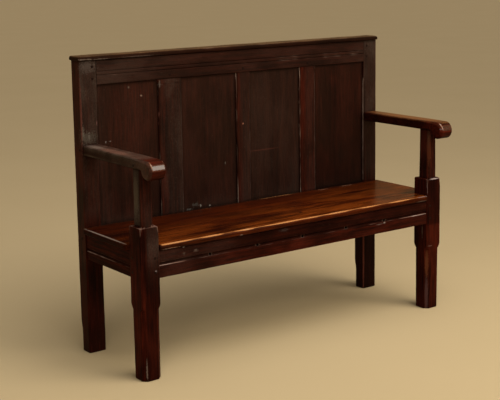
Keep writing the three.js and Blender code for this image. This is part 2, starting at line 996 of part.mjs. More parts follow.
// A flat board, feathered on its back to enter the grooves.
function backPanel([left, right]) {
  const tongue = grooveDepth - panelPlay;
  const x0 = left - tongue;
  const x1 = right + tongue;
  const z0 = seatUnder - tongue;
  const z1 = topRailUnderside + tongue;
  const rectangle = (y, inset) => [
    new THREE.Vector3(x0 + inset, y, z0 + inset),
    new THREE.Vector3(x0 + inset, y, z1 - inset),
    new THREE.Vector3(x1 - inset, y, z1 - inset),
    new THREE.Vector3(x1 - inset, y, z0 + inset),
  ];
  return loft([
    rectangle(grooveFront + fit, 0),
    rectangle(grooveBack - fit, 0),
    rectangle(grooveBack - fit, panelPlay + tongue),
    rectangle(grooveFront + fit + panelThickness, panelBevelWidth),
  ]);
}

// Cap board

function capBoard() {
  const end = half + capEndProud;
  const high = postTop + capThickness;
  const front = postFace - capFrontProud;
  const edge = runAlongX(
    nosedEdge(front, rearmost, postTop, high, capUnderRound, capTopRound),
    -end - overrun,
    end + overrun,
    arcSteps,
  );
  const ends = runAlongY(
    nosedEnds(end, postTop, high, capUnderRound, capTopRound),
    front - overrun,
    rearmost + overrun,
    arcSteps,
  );
  return drill(edge.intersect(ends), [...capRailPegs, ...capPostPegs]);
}

// Finishes

const oakFrame = { color: 0x2b1710, roughness: 0.38, metalness: 0 };
const oakPanel = { color: 0x27150f, roughness: 0.42, metalness: 0 };
const oakArm = { color: 0x3a2216, roughness: 0.3, metalness: 0 };
const oakSeat = { color: 0x5a2a14, roughness: 0.28, metalness: 0 };
const oakHidden = { color: 0x33221a, roughness: 0.7, metalness: 0 };
const oakPeg = { color: 0x1d110c, roughness: 0.45, metalness: 0 };

const settle = new THREE.Group();
settle.name = "settle_bench";
settle.position.y = -(frontmost + rearmost) / 2;

function addGeometry(name, geometry, finish) {
  const mesh = new THREE.Mesh(geometry, new THREE.MeshStandardMaterial(finish));
  mesh.name = name;
  settle.add(mesh);
}

function add(name, solid, finish) {
  addGeometry(name, toGeometry(solid), finish);
}

function addPair(name, solid, finish) {
  const geometry = toGeometry(solid);
  addGeometry(`${name}_right`, geometry, finish);
  addGeometry(`${name}_left`, mirrorX(geometry), finish);
}

addPair("front_post", frontPost(), oakFrame);
addPair("rear_post", rearPost(), oakFrame);
addPair("arm", arm(), oakArm);
addPair("side_rail", sideRail(), oakFrame);
add("front_seat_rail", frontSeatRail(), oakFrame);
add("lower_back_rail", lowerBackRail(), oakFrame);
add("top_rail", topRail(), oakFrame);
add("cap_board", capBoard(), oakFrame);
muntins.forEach((muntin, i) => add(`muntin_${i + 1}`, muntinPiece(muntin), oakFrame));
panelOpenings().forEach((opening, i) => add(`back_panel_${i + 1}`, backPanel(opening), oakPanel));
add("seat_board", seatBoard(), oakSeat);
add("seat_batten", seatBatten(), oakHidden);

function addPegs(name, pegs) {
  pegs.forEach((p, i) => add(`${name}_${i + 1}`, makePeg(p), oakPeg));
}

function addPegPairs(name, pegs) {
  pegs.forEach((p, i) => addPair(`${name}_${i + 1}`, makePeg(p), oakPeg));
}

addPegPairs("front_rail_peg", frontRailPegs);
addPegPairs("side_rail_peg", sideRailPegs);
addPegPairs("back_rail_peg", backRailPegs);
addPegPairs("top_rail_peg", topRailPegs);
addPegPairs("arm_peg", armPegs);
muntins.forEach((muntin, i) => addPegs(`muntin_${i + 1}_peg`, muntinPegs(muntin)));
addPegs("batten_peg", battenPegs);
addPegs("cap_rail_peg", capRailPegs);
addPegs("cap_post_peg", capPostPegs);

export default settle;
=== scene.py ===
"""Looks of a joined oak settle bench: aged timbers, their finish, a pale floor and soft studio light."""

import sys
import logging
import math
from dataclasses import dataclass, field, replace
from enum import Enum
from typing import Callable, Sequence

import bmesh
import bpy
import numpy as np
from mathutils import Matrix, Vector


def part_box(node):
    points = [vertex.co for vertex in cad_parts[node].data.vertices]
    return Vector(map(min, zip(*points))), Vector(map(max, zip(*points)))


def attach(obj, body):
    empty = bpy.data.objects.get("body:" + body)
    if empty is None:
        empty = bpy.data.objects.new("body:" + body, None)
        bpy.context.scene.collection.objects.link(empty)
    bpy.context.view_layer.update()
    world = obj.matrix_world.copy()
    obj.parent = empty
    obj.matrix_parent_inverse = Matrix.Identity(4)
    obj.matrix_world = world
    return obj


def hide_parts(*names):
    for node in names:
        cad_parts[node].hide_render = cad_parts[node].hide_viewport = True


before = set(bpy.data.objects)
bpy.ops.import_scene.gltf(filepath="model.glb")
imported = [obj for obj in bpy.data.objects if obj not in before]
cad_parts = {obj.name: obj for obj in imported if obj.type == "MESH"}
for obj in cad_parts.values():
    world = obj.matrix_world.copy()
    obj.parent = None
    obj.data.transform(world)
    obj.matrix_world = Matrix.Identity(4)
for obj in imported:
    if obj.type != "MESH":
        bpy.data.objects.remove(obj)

log = logging.getLogger("settle")

BODY = "root"
MM = 0.001
TINY = 1e-9
QUARTER = math.pi / 2

Colour = tuple[float, float, float]
Place = tuple[float, float, float]
Amount = np.ndarray | float


def low(node: str) -> Vector:
    """Returns the lowest corner of a frame node."""
    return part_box(node)[0]


def high(node: str) -> Vector:
    """Returns the highest corner of a frame node."""
    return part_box(node)[1]


def low_side(node: str, way: str) -> float:
    """Returns a dataclass field that holds the low side of a node's box along x, y or z."""
    return field(default_factory=lambda: getattr(low(node), way))


def high_side(node: str, way: str) -> float:
    """Returns a dataclass field that holds the high side of a node's box along x, y or z."""
    return field(default_factory=lambda: getattr(high(node), way))


def unit(values: Amount) -> Amount:
    """Returns values held between 0 and 1."""
    return np.clip(values, 0, 1)


def rise(values: Amount, start: float, run: float) -> Amount:
    """Returns 0 at start and before it, climbing to 1 over run."""
    return unit((values - start) / run)


def near(values: Amount, place: float, reach: float) -> Amount:
    """Returns 1 at a place, falling smoothly to 0 at reach on either side."""
    return unit(1 - np.abs(values - place) / reach) ** 2


def quarter_turn(steps: int) -> list[float]:
    """Returns angles from 0 to a right angle."""
    return [QUARTER * i / steps for i in range(steps + 1)]


def put_in_scene(name: str, data: bpy.types.ID) -> bpy.types.Object:
    """Makes an object of a mesh, lamp or camera.

    Args:
        name: the object's name.
        data: what it holds.

    Returns:
        The object, in the scene.
    """
    made = bpy.data.objects.new(name, data)
    bpy.context.scene.collection.objects.link(made)
    return made


class Axis(Enum):
    """The way that a timber runs. The value gives the place of (along, across, up) in x, y, z."""

    X = (0, 1, 2)
    Y = (1, 0, 2)
    Z = (2, 0, 1)


class Attribute(Enum):
    """What the meshes keep for the finishes to read. The value gives its name, kind and data field."""

    GRAIN = ("grain", "FLOAT_VECTOR", "vector")
    # Wear, which also paints pale highlight lines along edges.
    WEAR = ("wear", "FLOAT", "value")
    # Darkening from dirty wood, and painted shade in joints, grooves, recesses and undersides.
    GRIME = ("grime", "FLOAT", "value")
    TONE = ("tone", "FLOAT_COLOR", "color")

    def keep(self, mesh: bpy.types.Mesh, values: np.ndarray) -> None:
        """Stores values on a mesh.

        Args:
            mesh: the mesh.
            values: the numbers, one row for each point.
        """
        name, kind, slot = self.value
        layer = mesh.attributes.new(name, kind, "POINT")
        layer.data.foreach_set(slot, np.ascontiguousarray(values, np.float32).ravel())


class Spots:
    """Points of a skin: their places x, y, z, and the way that each faces, nx, ny, nz."""

    def __init__(self, points: np.ndarray, normals: np.ndarray) -> None:
        """Splits places and directions that have x, y and z last."""
        self.x, self.y, self.z = np.moveaxis(points, -1, 0)
        self.nx, self.ny, self.nz = np.moveaxis(normals, -1, 0)


@dataclass(frozen=True)
class Tone:
    """How dusty, red and polished wood is, each from 0 to 1."""

    dust: Amount = 0.15
    red: Amount = 0.5
    polish: Amount = 0.0

    def rows(self, count: int) -> np.ndarray:
        """Returns the tone as a colour with alpha for each of count points."""
        parts = (unit(self.dust), unit(self.red), unit(self.polish), 1.0)
        return np.column_stack([np.broadcast_to(part, count) for part in parts])


Look = Callable[[Spots], Amount]
Toning = Callable[[Spots], Tone]


@dataclass(frozen=True)
class Plan:
    """Places that several sub-assemblies share, read from the frame."""

    front: float = low_side("front_post_right", "y")
    leg_back: float = high_side("front_post_right", "y")
    leg_inner: float = low_side("front_post_right", "x")
    outer: float = high_side("front_post_right", "x")
    post_inner: float = low_side("rear_post_right", "x")
    post_face: float = low_side("rear_post_right", "y")
    post_back: float = high_side("rear_post_right", "y")
    post_top: float = high_side("rear_post_right", "z")
    rail_under: float = low_side("front_seat_rail", "z")
    seat_under: float = low_side("seat_board", "z")
    seat_top: float = high_side("seat_board", "z")
    top_rail_under: float = low_side("top_rail", "z")
    frame_back: float = high_side("top_rail", "y")
    arm_top: float = high_side("arm_right", "z")
    fit: float = 0.3 * MM
    arris: float = 1.5 * MM
    groove_front: float = low_side("back_panel_1", "y")
    groove_width: float = 8.7 * MM
    groove_depth: float = 10 * MM

    @property
    def groove_back(self) -> float:
        """Returns the far wall of the panel grooves."""
        return self.groove_front + self.groove_width


# Shader graphs


class Sock:
    """A shader socket that takes Python arithmetic."""

    def __init__(self, graph: "Graph", socket: bpy.types.NodeSocket) -> None:
        """Wraps an output socket of a graph."""
        self.graph = graph
        self.socket = socket

    def _math(self, operation: str, first: "Value", second: "Value") -> "Sock":
        """Returns a Math node's output for two values."""
        return self.graph.node("ShaderNodeMath", {"operation": operation}, {0: first, 1: second})

    def __add__(self, other: "Value") -> "Sock":
        """Returns the sum."""
        return self._math("ADD", self, other)

    def __radd__(self, other: "Value") -> "Sock":
        """Returns the sum."""
        return self._math("ADD", other, self)

    def __sub__(self, other: "Value") -> "Sock":
        """Returns the difference."""
        return self._math("SUBTRACT", self, other)

    def __rsub__(self, other: "Value") -> "Sock":
        """Returns the difference."""
        return self._math("SUBTRACT", other, self)

    def __mul__(self, other: "Value") -> "Sock":
        """Returns the product."""
        return self._math("MULTIPLY", self, other)

    def __rmul__(self, other: "Value") -> "Sock":
        """Returns the product."""
        return self._math("MULTIPLY", other, self)

    def between(self, start: float, end: float) -> "Sock":
        """Returns 0 below start, 1 above end and a smooth rise between them."""
        settings = {"interpolation_type": "SMOOTHSTEP"}
        return self.graph.node("ShaderNodeMapRange", settings, {0: self, 1: start, 2: end, 3: 0.0, 4: 1.0})


Value = Sock | float


def lengthwise(along: float, across: float) -> Place:
    """Returns features per metre along the grain and across it."""
    return (along, across, across)


class Graph:
    """The node tree of one material or sky, built from nothing."""

    def __init__(self, owner: bpy.types.Material | bpy.types.World) -> None:
        """Empties the owner's node tree.

        Args:
            owner: the material or the sky.
        """
        self.owner = owner
        owner.use_nodes = True
        self.tree = owner.node_tree
        self.tree.nodes.clear()

    def raw(self, kind: str, settings: dict, inputs: dict) -> bpy.types.Node:
        """Adds a node.

        Args:
            kind: the node's type.
            settings: its properties, set first.
            inputs: values or sockets by input name or number.

        Returns:
            The node.
        """
        node = self.tree.nodes.new(kind)
        for key, value in settings.items():
            setattr(node, key, value)
        for key, value in inputs.items():
            if isinstance(value, Sock):
                self.tree.links.new(value.socket, node.inputs[key])
            else:
                node.inputs[key].default_value = value
        return node

    def node(self, kind: str, settings: dict, inputs: dict, output: int | str = 0) -> Sock:
        """Adds a node and returns the output of the given name or number."""
        return Sock(self, self.raw(kind, settings, inputs).outputs[output])

    def attribute(self, kept: Attribute, output: str) -> Sock:
        """Returns an output of a mesh attribute."""
        return self.node("ShaderNodeAttribute", {"attribute_name": kept.value[0]}, {}, output)

    def vector(self, operation: str, inputs: dict, output: int = 0) -> Sock:
        """Returns an output of a Vector Math node."""
        return self.node("ShaderNodeVectorMath", {"operation": operation}, inputs, output)

    def noise(self, place: Sock, scale: Place, detail: float = 3.0, bend: float = 0.0) -> Sock:
        """Adds noise from 0 to 1.

        Args:
            place: where it is read.
            scale: features per metre along each axis.
            detail: how many finer octaves it has.
            bend: how far it is distorted.

        Returns:
            The noise value.
        """
        stretched = self.vector("MULTIPLY", {0: place, 1: scale})
        inputs = {"Vector": stretched, "Scale": 1.0, "Detail": detail, "Distortion": bend}
        return self.node("ShaderNodeTexNoise", {"noise_dimensions": "3D"}, inputs)

    def mix(self, factor: Value, first: Sock | Colour, second: Sock | Colour) -> Sock:
        """Mixes two colours.

        Args:
            factor: the share of the second.
            first: the first colour.
            second: the second colour.

        Returns:
            The colour.
        """
        colours = [c if isinstance(c, Sock) else (*c, 1.0) for c in (first, second)]
        settings = {"data_type": "RGBA", "blend_type": "MIX", "clamp_factor": True}
        return self.node("ShaderNodeMix", settings, {0: factor, 6: colours[0], 7: colours[1]}, 2)

    def bump(self, height: Sock, strength: float, distance: float) -> Sock:
        """Returns the normals of a relief."""
        return self.node("ShaderNodeBump", {}, {"Strength": strength, "Distance": distance, "Height": height})

    def surface(self, **inputs: Value | Colour) -> bpy.types.Material:
        """Ends the graph with a Principled shader.

        Args:
            inputs: its inputs, by name with underscores for spaces.

        Returns:
            The finished material.
        """
        values = {key.replace("_", " "): value for key, value in inputs.items()}
        shader = self.node("ShaderNodeBsdfPrincipled", {}, values)
        self.raw("ShaderNodeOutputMaterial", {}, {0: shader})
        return self.owner


# Finishes

TEAR_SCALE = 210.0
RELIEF_DEPTH = 0.6 * MM


@dataclass(frozen=True)
class Mark:
    """A scuff, scratch or stain, or a painted highlight or reflection, at one place on the bench."""

    centre: Place
    reach: Place
    colour: Colour
    strength: float
    ragged: float

    def mask(self, graph: Graph, place: Sock) -> Sock:
        """Works out where the mark lies.

        Args:
            graph: the material's graph.
            place: the place on the bench.

        Returns:
            Its strength on the mark and 0 off it.
        """
        apart = graph.vector("SUBTRACT", {0: place, 1: self.centre})
        distance = graph.vector("LENGTH", {0: graph.vector("DIVIDE", {0: apart, 1: self.reach})}, 1)
        torn = graph.noise(place, (TEAR_SCALE,) * 3)
        return (1.0 - distance + self.ragged * (torn - 0.5)).between(0.05, 0.6) * self.strength


class Grain:
    """The patterns that a finish is mixed from, all from 0 to 1."""

    def __init__(self, graph: Graph, finish: "Oak") -> None:
        """Adds the patterns.

        Args:
            graph: the material's graph.
            finish: the finish that they serve.
        """
        place = graph.attribute(Attribute.GRAIN, "Vector")
        across = finish.streaks_across
        self.streaks = graph.noise(place, lengthwise(1.6, across), detail=5.0, bend=0.35)
        self.figure = graph.noise(place, lengthwise(4.5, across * 3.1), detail=4.0, bend=0.2)
        self.fibres = graph.noise(place, lengthwise(16.0, 420.0))
        self.pores = graph.noise(place, lengthwise(60.0, 1500.0), detail=2.0).between(0.6, 0.72)
        self.cloud = graph.noise(place, finish.patches, detail=4.0)
        self.specks = graph.noise(place, lengthwise(260.0, 420.0), detail=2.0)
        self.flecks = graph.noise(place, lengthwise(150.0, 330.0), detail=1.0).between(0.7, 0.78)


@dataclass(frozen=True)
class Oak:
    """Aged, waxed oak."""

    name: str
    dark: Colour = (0.0085, 0.0019, 0.0011)
    middle: Colour = (0.026, 0.0078, 0.0042)
    red: Colour = (0.054, 0.0078, 0.0034)
    worn: Colour = (0.125, 0.078, 0.056)
    # The palest wood, also the colour of painted highlight lines on edges.
    bare_and_highlight: Colour = (0.34, 0.245, 0.19)
    bloom: Colour = (0.05, 0.036, 0.026)
    # Near black: the colour of dirty wood, and of painted shade.
    dirt_and_shade: Colour = (0.003, 0.0012, 0.0009)
    streaks_across: float = 42.0
    contrast: float = 1.0
    mottle: float = 0.6
    patches: Place = (7.0, 13.0, 13.0)
    roughness: float = 0.42
    wear: float = 1.0
    shine: float = 0.04
    sheen: Colour = (1.0, 0.62, 0.42)
    gloss: float = 0.0
    polish_index: float = 1.5
    relief: float = 0.35
    marks: tuple[Mark, ...] = ()

    def timber(self, graph: Graph, grain: Grain, ruddy: Sock) -> Sock:
        """Mixes the wood as it was before dust and wear.

        Args:
            graph: the material's graph.
            grain: the patterns of the wood.
            ruddy: how red it is.

        Returns:
            The colour.
        """
        start, end = 0.5 - 0.22 / self.contrast, 0.5 + 0.24 / self.contrast
        bands = (grain.streaks * 0.62 + grain.figure * 0.38).between(start, end)
        redness = (grain.cloud * self.mottle + grain.figure * (1.0 - self.mottle)).between(0.36, 0.62) * ruddy
        wood = graph.mix(redness, graph.mix(bands, self.dark, self.middle), self.red)
        return graph.mix(0.55 * grain.fibres.between(0.62, 0.36), wood, self.dirt_and_shade)

    def rubbed(self, graph: Graph, grain: Grain, wood: Sock) -> Sock:
        """Wears the wood pale at its exposed places. Where it is worn most it turns to the palest colour,
        which also paints highlight lines along edges.

        Args:
            graph: the material's graph.
            grain: the patterns of the wood.
            wood: its colour so far.

        Returns:
            The colour.
        """
        edge = graph.attribute(Attribute.WEAR, "Fac")
        scuffs = (edge + 0.5 * (grain.fibres - 0.5) + 0.7 * (grain.cloud - 0.5)).between(0.42, 0.95)
        # Where wear is highest: worn-through wood and painted highlight lines.
        through = (edge + 0.8 * (grain.fibres - 0.5) + 0.6 * (grain.cloud - 0.5)).between(1.05, 1.6)
        return graph.mix(through, graph.mix(scuffs * self.wear, wood, self.worn), self.bare_and_highlight)

    def build(self) -> bpy.types.Material:
        """Builds the finish.

        Returns:
            The finished material.
        """
        graph = Graph(bpy.data.materials.new(self.name))
        grain = Grain(graph, self)
        grime = graph.attribute(Attribute.GRIME, "Fac")
        tone = graph.raw("ShaderNodeSeparateColor", {}, {0: graph.attribute(Attribute.TONE, "Color")})
        dusty, ruddy, polished = (Sock(graph, tone.outputs[i]) for i in range(3))
        speckled = 0.4 + 0.6 * grain.specks.between(0.4, 0.62)
        clouded = 0.45 + 0.55 * grain.cloud.between(0.4, 0.64)
        haze = dusty * speckled * clouded

        # Mixes toward bloom where dusty, and where a tone carries a painted highlight as dust.
        wood = graph.mix(haze, self.timber(graph, grain, ruddy), self.bloom)
        wood = graph.mix(grain.flecks * (0.12 + 0.6 * dusty), wood, self.worn)
        wood = self.rubbed(graph, grain, wood)
        # Darkens toward near black: dirty wood, and painted shade in joints, grooves and undersides.
        wood = graph.mix(grime * (0.6 + 0.4 * grain.specks.between(0.3, 0.6)), wood, self.dirt_and_shade)
        wood = graph.mix(0.6 * grain.pores, wood, self.dirt_and_shade)
        spot = graph.node("ShaderNodeTexCoord", {}, {}, "Object")
        for mark in self.marks:
            wood = graph.mix(mark.mask(graph, spot), wood, mark.colour)

        roughness = self.roughness + 0.12 * (grain.fibres - 0.5) + 0.16 * (grain.cloud - 0.5)
        roughness = roughness + 0.14 * haze + 0.2 * grime + 0.12 * grain.pores - 0.16 * polished
        relief = grain.fibres * 0.5 + grain.figure * 0.7 - grain.pores * 0.5 + grain.cloud * 0.8
        return graph.surface(
            Base_Color=wood,
            Roughness=roughness,
            Normal=graph.bump(relief, self.relief, RELIEF_DEPTH),
            Specular_IOR_Level=self.shine,
            Specular_Tint=(*self.sheen, 1.0),
            Coat_Weight=polished * self.gloss,
            Coat_Roughness=0.16,
            Coat_IOR=self.polish_index,
        )


@dataclass(frozen=True)
class PegEnd:
    """Dark end grain of the drawbore pegs, which are frame nodes and have no mesh values of their own."""

    name: str = "peg_end_grain"
    dark: Colour = (0.004, 0.0013, 0.0009)
    light: Colour = (0.022, 0.0085, 0.005)
    ring_scale: float = 520.0
    pit_scale: float = 1900.0
    relief_depth: float = 0.4 * MM

    def build(self) -> bpy.types.Material:
        """Builds the finish.

        Returns:
            The finished material.
        """
        graph = Graph(bpy.data.materials.new(self.name))
        place = graph.node("ShaderNodeTexCoord", {}, {}, "Object")
        rings = graph.noise(place, (self.ring_scale,) * 3, bend=0.6)
        pits = graph.noise(place, (self.pit_scale,) * 3, detail=1.0)
        return graph.surface(
            Base_Color=graph.mix(rings.between(0.35, 0.7), self.dark, self.light),
            Roughness=0.42 + 0.2 * pits,
            Normal=graph.bump(pits + rings, 0.5, self.relief_depth),
            Specular_IOR_Level=0.05,
        )


class Finish(Enum):
    """The finishes of the bench, by the timbers that carry them."""

    FRAME = Oak(
        "aged_oak_frame",
        marks=(
            Mark((-0.594, 0.184, 0.79), (0.005, 0.01, 0.012), (0.2, 0.09, 0.075), 0.7, 1.8),
            Mark((-0.636, 0.184, 0.745), (0.05, 0.02, 0.026), (0.085, 0.07, 0.05), 0.5, 3.0),
            Mark((-0.625, 0.184, 0.98), (0.035, 0.02, 0.024), (0.12, 0.095, 0.078), 0.28, 3.0),
            Mark((-0.65, 0.184, 0.765), (0.008, 0.02, 0.03), (0.12, 0.1, 0.075), 0.45, 2.0),
            Mark((-0.627, 0.184, 0.748), (0.004, 0.02, 0.018), (0.12, 0.1, 0.08), 0.5, 2.0),
            Mark((-0.654, 0.187, 0.82), (0.006, 0.005, 0.17), (0.1, 0.03, 0.02), 0.75, 1.4),
            Mark((-0.3465, 0.184, 0.903), (0.0035, 0.01, 0.018), (0.2, 0.15, 0.12), 0.5, 1.6),
            Mark((-0.35, 0.19, 0.899), (0.024, 0.015, 0.0022), (0.14, 0.11, 0.09), 0.5, 2.2),
            Mark((0.592, 0.186, 0.15), (0.005, 0.007, 0.24), (0.14, 0.04, 0.026), 0.85, 0.8),
            Mark((0.005, 0.184, 0.729), (0.004, 0.01, 0.005), (0.3, 0.12, 0.07), 0.7, 1.8),
            Mark((-0.351, 0.192, 0.796), (0.004, 0.008, 0.013), (0.16, 0.06, 0.045), 0.8, 1.8),
            Mark((-0.351, 0.195, 0.765), (0.004, 0.008, 0.01), (0.14, 0.05, 0.04), 0.8, 1.8),
        ),
    )
    POST = Oak(
        "aged_oak_post",
        dark=(0.0075, 0.0012, 0.0006),
        middle=(0.02, 0.0036, 0.0015),
        red=(0.062, 0.0078, 0.003),
        worn=(0.16, 0.085, 0.06),
        bare_and_highlight=(0.36, 0.27, 0.23),
        bloom=(0.085, 0.066, 0.05),
        roughness=0.34,
        shine=0.012,
        marks=(
            Mark((-0.601, -0.174, 0.355), (0.005, 0.012, 0.006), (0.2, 0.16, 0.15), 0.8, 1.8),
            Mark((-0.493, -0.172, 0.418), (0.005, 0.01, 0.004), (0.17, 0.14, 0.12), 0.7, 2.0),
            Mark((-0.448, -0.172, 0.399), (0.01, 0.01, 0.006), (0.1, 0.066, 0.05), 0.6, 2.6),
            Mark((-0.493, -0.172, 0.396), (0.006, 0.01, 0.006), (0.09, 0.06, 0.045), 0.5, 2.6),
            Mark((-0.087, -0.172, 0.411), (0.024, 0.01, 0.006), (0.06, 0.042, 0.036), 0.4, 3.0),
            Mark((0.35, -0.172, 0.3655), (0.022, 0.01, 0.0025), (0.12, 0.09, 0.075), 0.6, 1.8),
            Mark((0.374, -0.172, 0.368), (0.007, 0.01, 0.0035), (0.26, 0.2, 0.17), 0.8, 1.2),
            Mark((0.587, -0.15, 0.3), (0.006, 0.0024, 0.034), (0.15, 0.11, 0.095), 0.6, 1.4),
            Mark((0.606, -0.1745, 0.245), (0.016, 0.01, 0.0025), (0.14, 0.075, 0.055), 0.6, 1.6),
            Mark((0.594, -0.168, 0.055), (0.009, 0.01, 0.1), (0.075, 0.036, 0.032), 0.7, 0.8),
            Mark((0.594, -0.168, 0.175), (0.009, 0.01, 0.07), (0.11, 0.034, 0.014), 0.7, 0.9),
            # Pale lines on the right block's front-left arris and top front edge, and a warm streak on the
            # right support's chamfer: painted highlight.
            Mark((0.5895, -0.172, 0.462), (0.002, 0.004, 0.05), (0.15, 0.1, 0.09), 0.45, 1.6),
            Mark((0.626, -0.172, 0.4995), (0.036, 0.006, 0.0036), (0.4, 0.3, 0.26), 0.9, 0.6),
            Mark((0.605, -0.163, 0.61), (0.011, 0.012, 0.08), (0.1, 0.028, 0.012), 0.55, 1.4),
            Mark((-0.644, -0.174, 0.036), (0.0025, 0.01, 0.045), (0.2, 0.15, 0.12), 0.6, 1.4),
            Mark((-0.643, -0.132, 0.605), (0.008, 0.022, 0.08), (0.1, 0.075, 0.05), 0.55, 1.0),
        ),
    )
    PANEL = Oak(
        "aged_oak_panel",
        streaks_across=26.0,
        contrast=0.8,
        mottle=0.75,
        patches=(5.5, 10.0, 10.0),
        roughness=0.44,
        shine=0.09,
        marks=(
            Mark((-0.416, 0.194, 0.867), (0.007, 0.005, 0.0045), (0.22, 0.14, 0.1), 0.7, 1.4),
            Mark((-0.465, 0.194, 0.899), (0.005, 0.005, 0.005), (0.14, 0.1, 0.075), 0.5, 1.4),
            Mark((-0.56, 0.194, 0.72), (0.004, 0.005, 0.004), (0.2, 0.17, 0.145), 0.65, 2.2),
            Mark((-0.542, 0.194, 0.722), (0.006, 0.005, 0.003), (0.2, 0.17, 0.145), 0.55, 2.2),
            Mark((-0.233, 0.194, 0.443), (0.014, 0.005, 0.004), (0.08, 0.072, 0.06), 0.6, 2.8),
            Mark((-0.204, 0.194, 0.455), (0.022, 0.005, 0.009), (0.06, 0.054, 0.044), 0.55, 3.0),
            Mark((-0.182, 0.194, 0.449), (0.0045, 0.005, 0.006), (0.22, 0.19, 0.155), 0.65, 2.0),
            Mark((-0.142, 0.194, 0.445), (0.006, 0.005, 0.0035), (0.2, 0.17, 0.14), 0.65, 2.0),
            Mark((-0.07, 0.194, 0.592), (0.002, 0.005, 0.009), (0.16, 0.135, 0.11), 0.7, 1.2),
            Mark((0.1, 0.194, 0.622), (0.1, 0.005, 0.0035), (0.09, 0.025, 0.016), 0.35, 1.6),
        ),
    )
    SEAT = Oak(
        "aged_oak_seat",
        dark=(0.014, 0.0022, 0.0008),
        middle=(0.074, 0.0096, 0.0012),
        red=(0.2, 0.04, 0.0042),
        worn=(0.5, 0.2, 0.06),
        bare_and_highlight=(0.5, 0.27, 0.13),
        streaks_across=17.0,
        contrast=1.15,
        patches=(4.0, 11.0, 11.0),
        roughness=0.38,
        shine=0.025,
        relief=0.2,
        gloss=0.05,
        marks=(
            Mark((0.05, -0.088, 0.44), (0.014, 0.011, 0.01), (0.01, 0.003, 0.002), 0.9, 0.6),
            Mark((0.108, 0.183, 0.44), (0.05, 0.007, 0.01), (0.36, 0.15, 0.05), 0.7, 2.0),
            Mark((0.19, 0.182, 0.44), (0.06, 0.006, 0.01), (0.36, 0.15, 0.05), 0.65, 2.0),
            Mark((0.37, 0.17, 0.44), (0.03, 0.008, 0.01), (0.2, 0.09, 0.05), 0.5, 2.6),
            Mark((0.49, 0.172, 0.44), (0.04, 0.008, 0.01), (0.22, 0.1, 0.055), 0.5, 2.6),
            # Pale lines on the nosing's upper and lower arrises and on the left end's top arris: painted
            # highlight.
            Mark((0.56, -0.176, 0.4225), (0.035, 0.01, 0.003), (0.14, 0.1, 0.08), 0.6, 1.6),
            Mark((0.566, -0.173, 0.4385), (0.034, 0.005, 0.003), (0.22, 0.16, 0.135), 0.6, 1.0),
            Mark((-0.661, 0.04, 0.4388), (0.004, 0.2, 0.0028), (0.3, 0.23, 0.18), 0.85, 0.7),
            Mark((-0.548, -0.178, 0.4215), (0.045, 0.01, 0.0035), (0.26, 0.18, 0.15), 0.7, 2.2),
            Mark((-0.269, -0.178, 0.422), (0.008, 0.01, 0.004), (0.26, 0.18, 0.15), 0.8, 1.6),
        ),
    )
    ARM = Oak(
        "aged_oak_arm",
        dark=(0.009, 0.0018, 0.001),
        middle=(0.032, 0.0075, 0.0035),
        red=(0.085, 0.011, 0.0042),
        worn=(0.25, 0.1, 0.05),
        bare_and_highlight=(0.5, 0.4, 0.33),
        bloom=(0.095, 0.07, 0.05),
        roughness=0.36,
        shine=0.03,
        gloss=1.0,
        polish_index=1.85,
        marks=(
            # The golden top of the right arm: its own colour and painted reflection.
            Mark((0.628, -0.02, 0.717), (0.05, 0.31, 0.0075), (0.22, 0.084, 0.024), 0.75, 0.9),
            # Pinkish grey on the left arm's top near its outer arris: painted highlight.
            Mark((-0.632, 0.13, 0.7185), (0.022, 0.07, 0.005), (0.2, 0.145, 0.11), 0.55, 2.2),
            Mark((-0.63, 0.01, 0.7185), (0.026, 0.12, 0.005), (0.19, 0.085, 0.055), 0.55, 1.2),
            # An orange line on the left arm's outer upper arris: painted highlight.
            Mark((-0.661, -0.11, 0.7165), (0.0035, 0.1, 0.003), (0.34, 0.14, 0.07), 0.6, 0.8),
            # Pale grey streaks under the left roll: painted reflection.
            Mark((-0.664, -0.208, 0.681), (0.006, 0.03, 0.0026), (0.16, 0.145, 0.115), 0.7, 1.0),
            Mark((-0.658, -0.214, 0.663), (0.012, 0.014, 0.006), (0.1, 0.09, 0.07), 0.6, 1.2),
        ),
    )
    CAP = Oak(
        "aged_oak_cap",
        bloom=(0.16, 0.088, 0.038),
        roughness=0.46,
        marks=(
            Mark((-0.635, 0.178, 1.005), (0.04, 0.014, 0.0026), (0.19, 0.14, 0.105), 0.5, 2.0),
            Mark((-0.575, 0.178, 1.0035), (0.05, 0.014, 0.0024), (0.18, 0.13, 0.1), 0.45, 2.2),
            Mark((-0.44, 0.178, 1.004), (0.1, 0.014, 0.0024), (0.12, 0.085, 0.065), 0.4, 2.4),
        ),
    )
    HIDDEN = Oak("aged_oak_hidden", middle=(0.05, 0.028, 0.018), roughness=0.75, wear=0.4, shine=0.2)

    def material(self) -> bpy.types.Material:
        """Returns the material, made once."""
        return bpy.data.materials.get(self.value.name) or self.value.build()


# Skins of timbers


@dataclass(frozen=True)
class Corner:
    """A corner of a timber's section."""

    across: float
    up: float
    rounding: float = 0.8 * MM


@dataclass(frozen=True)
class Station:
    """A section of a timber at a place along it."""

    place: float
    corners: Sequence[Corner]


@dataclass(frozen=True)
class Ageing:
    """How a timber has moved and worn since it was made."""

    wave: float = 0.35 * MM
    wave_length: float = 160 * MM
    rub: float = 0.9 * MM
    rub_length: float = 34 * MM
    chips: int = 14
    chip_depth: float = 1.3 * MM
    chip_length: float = 9 * MM


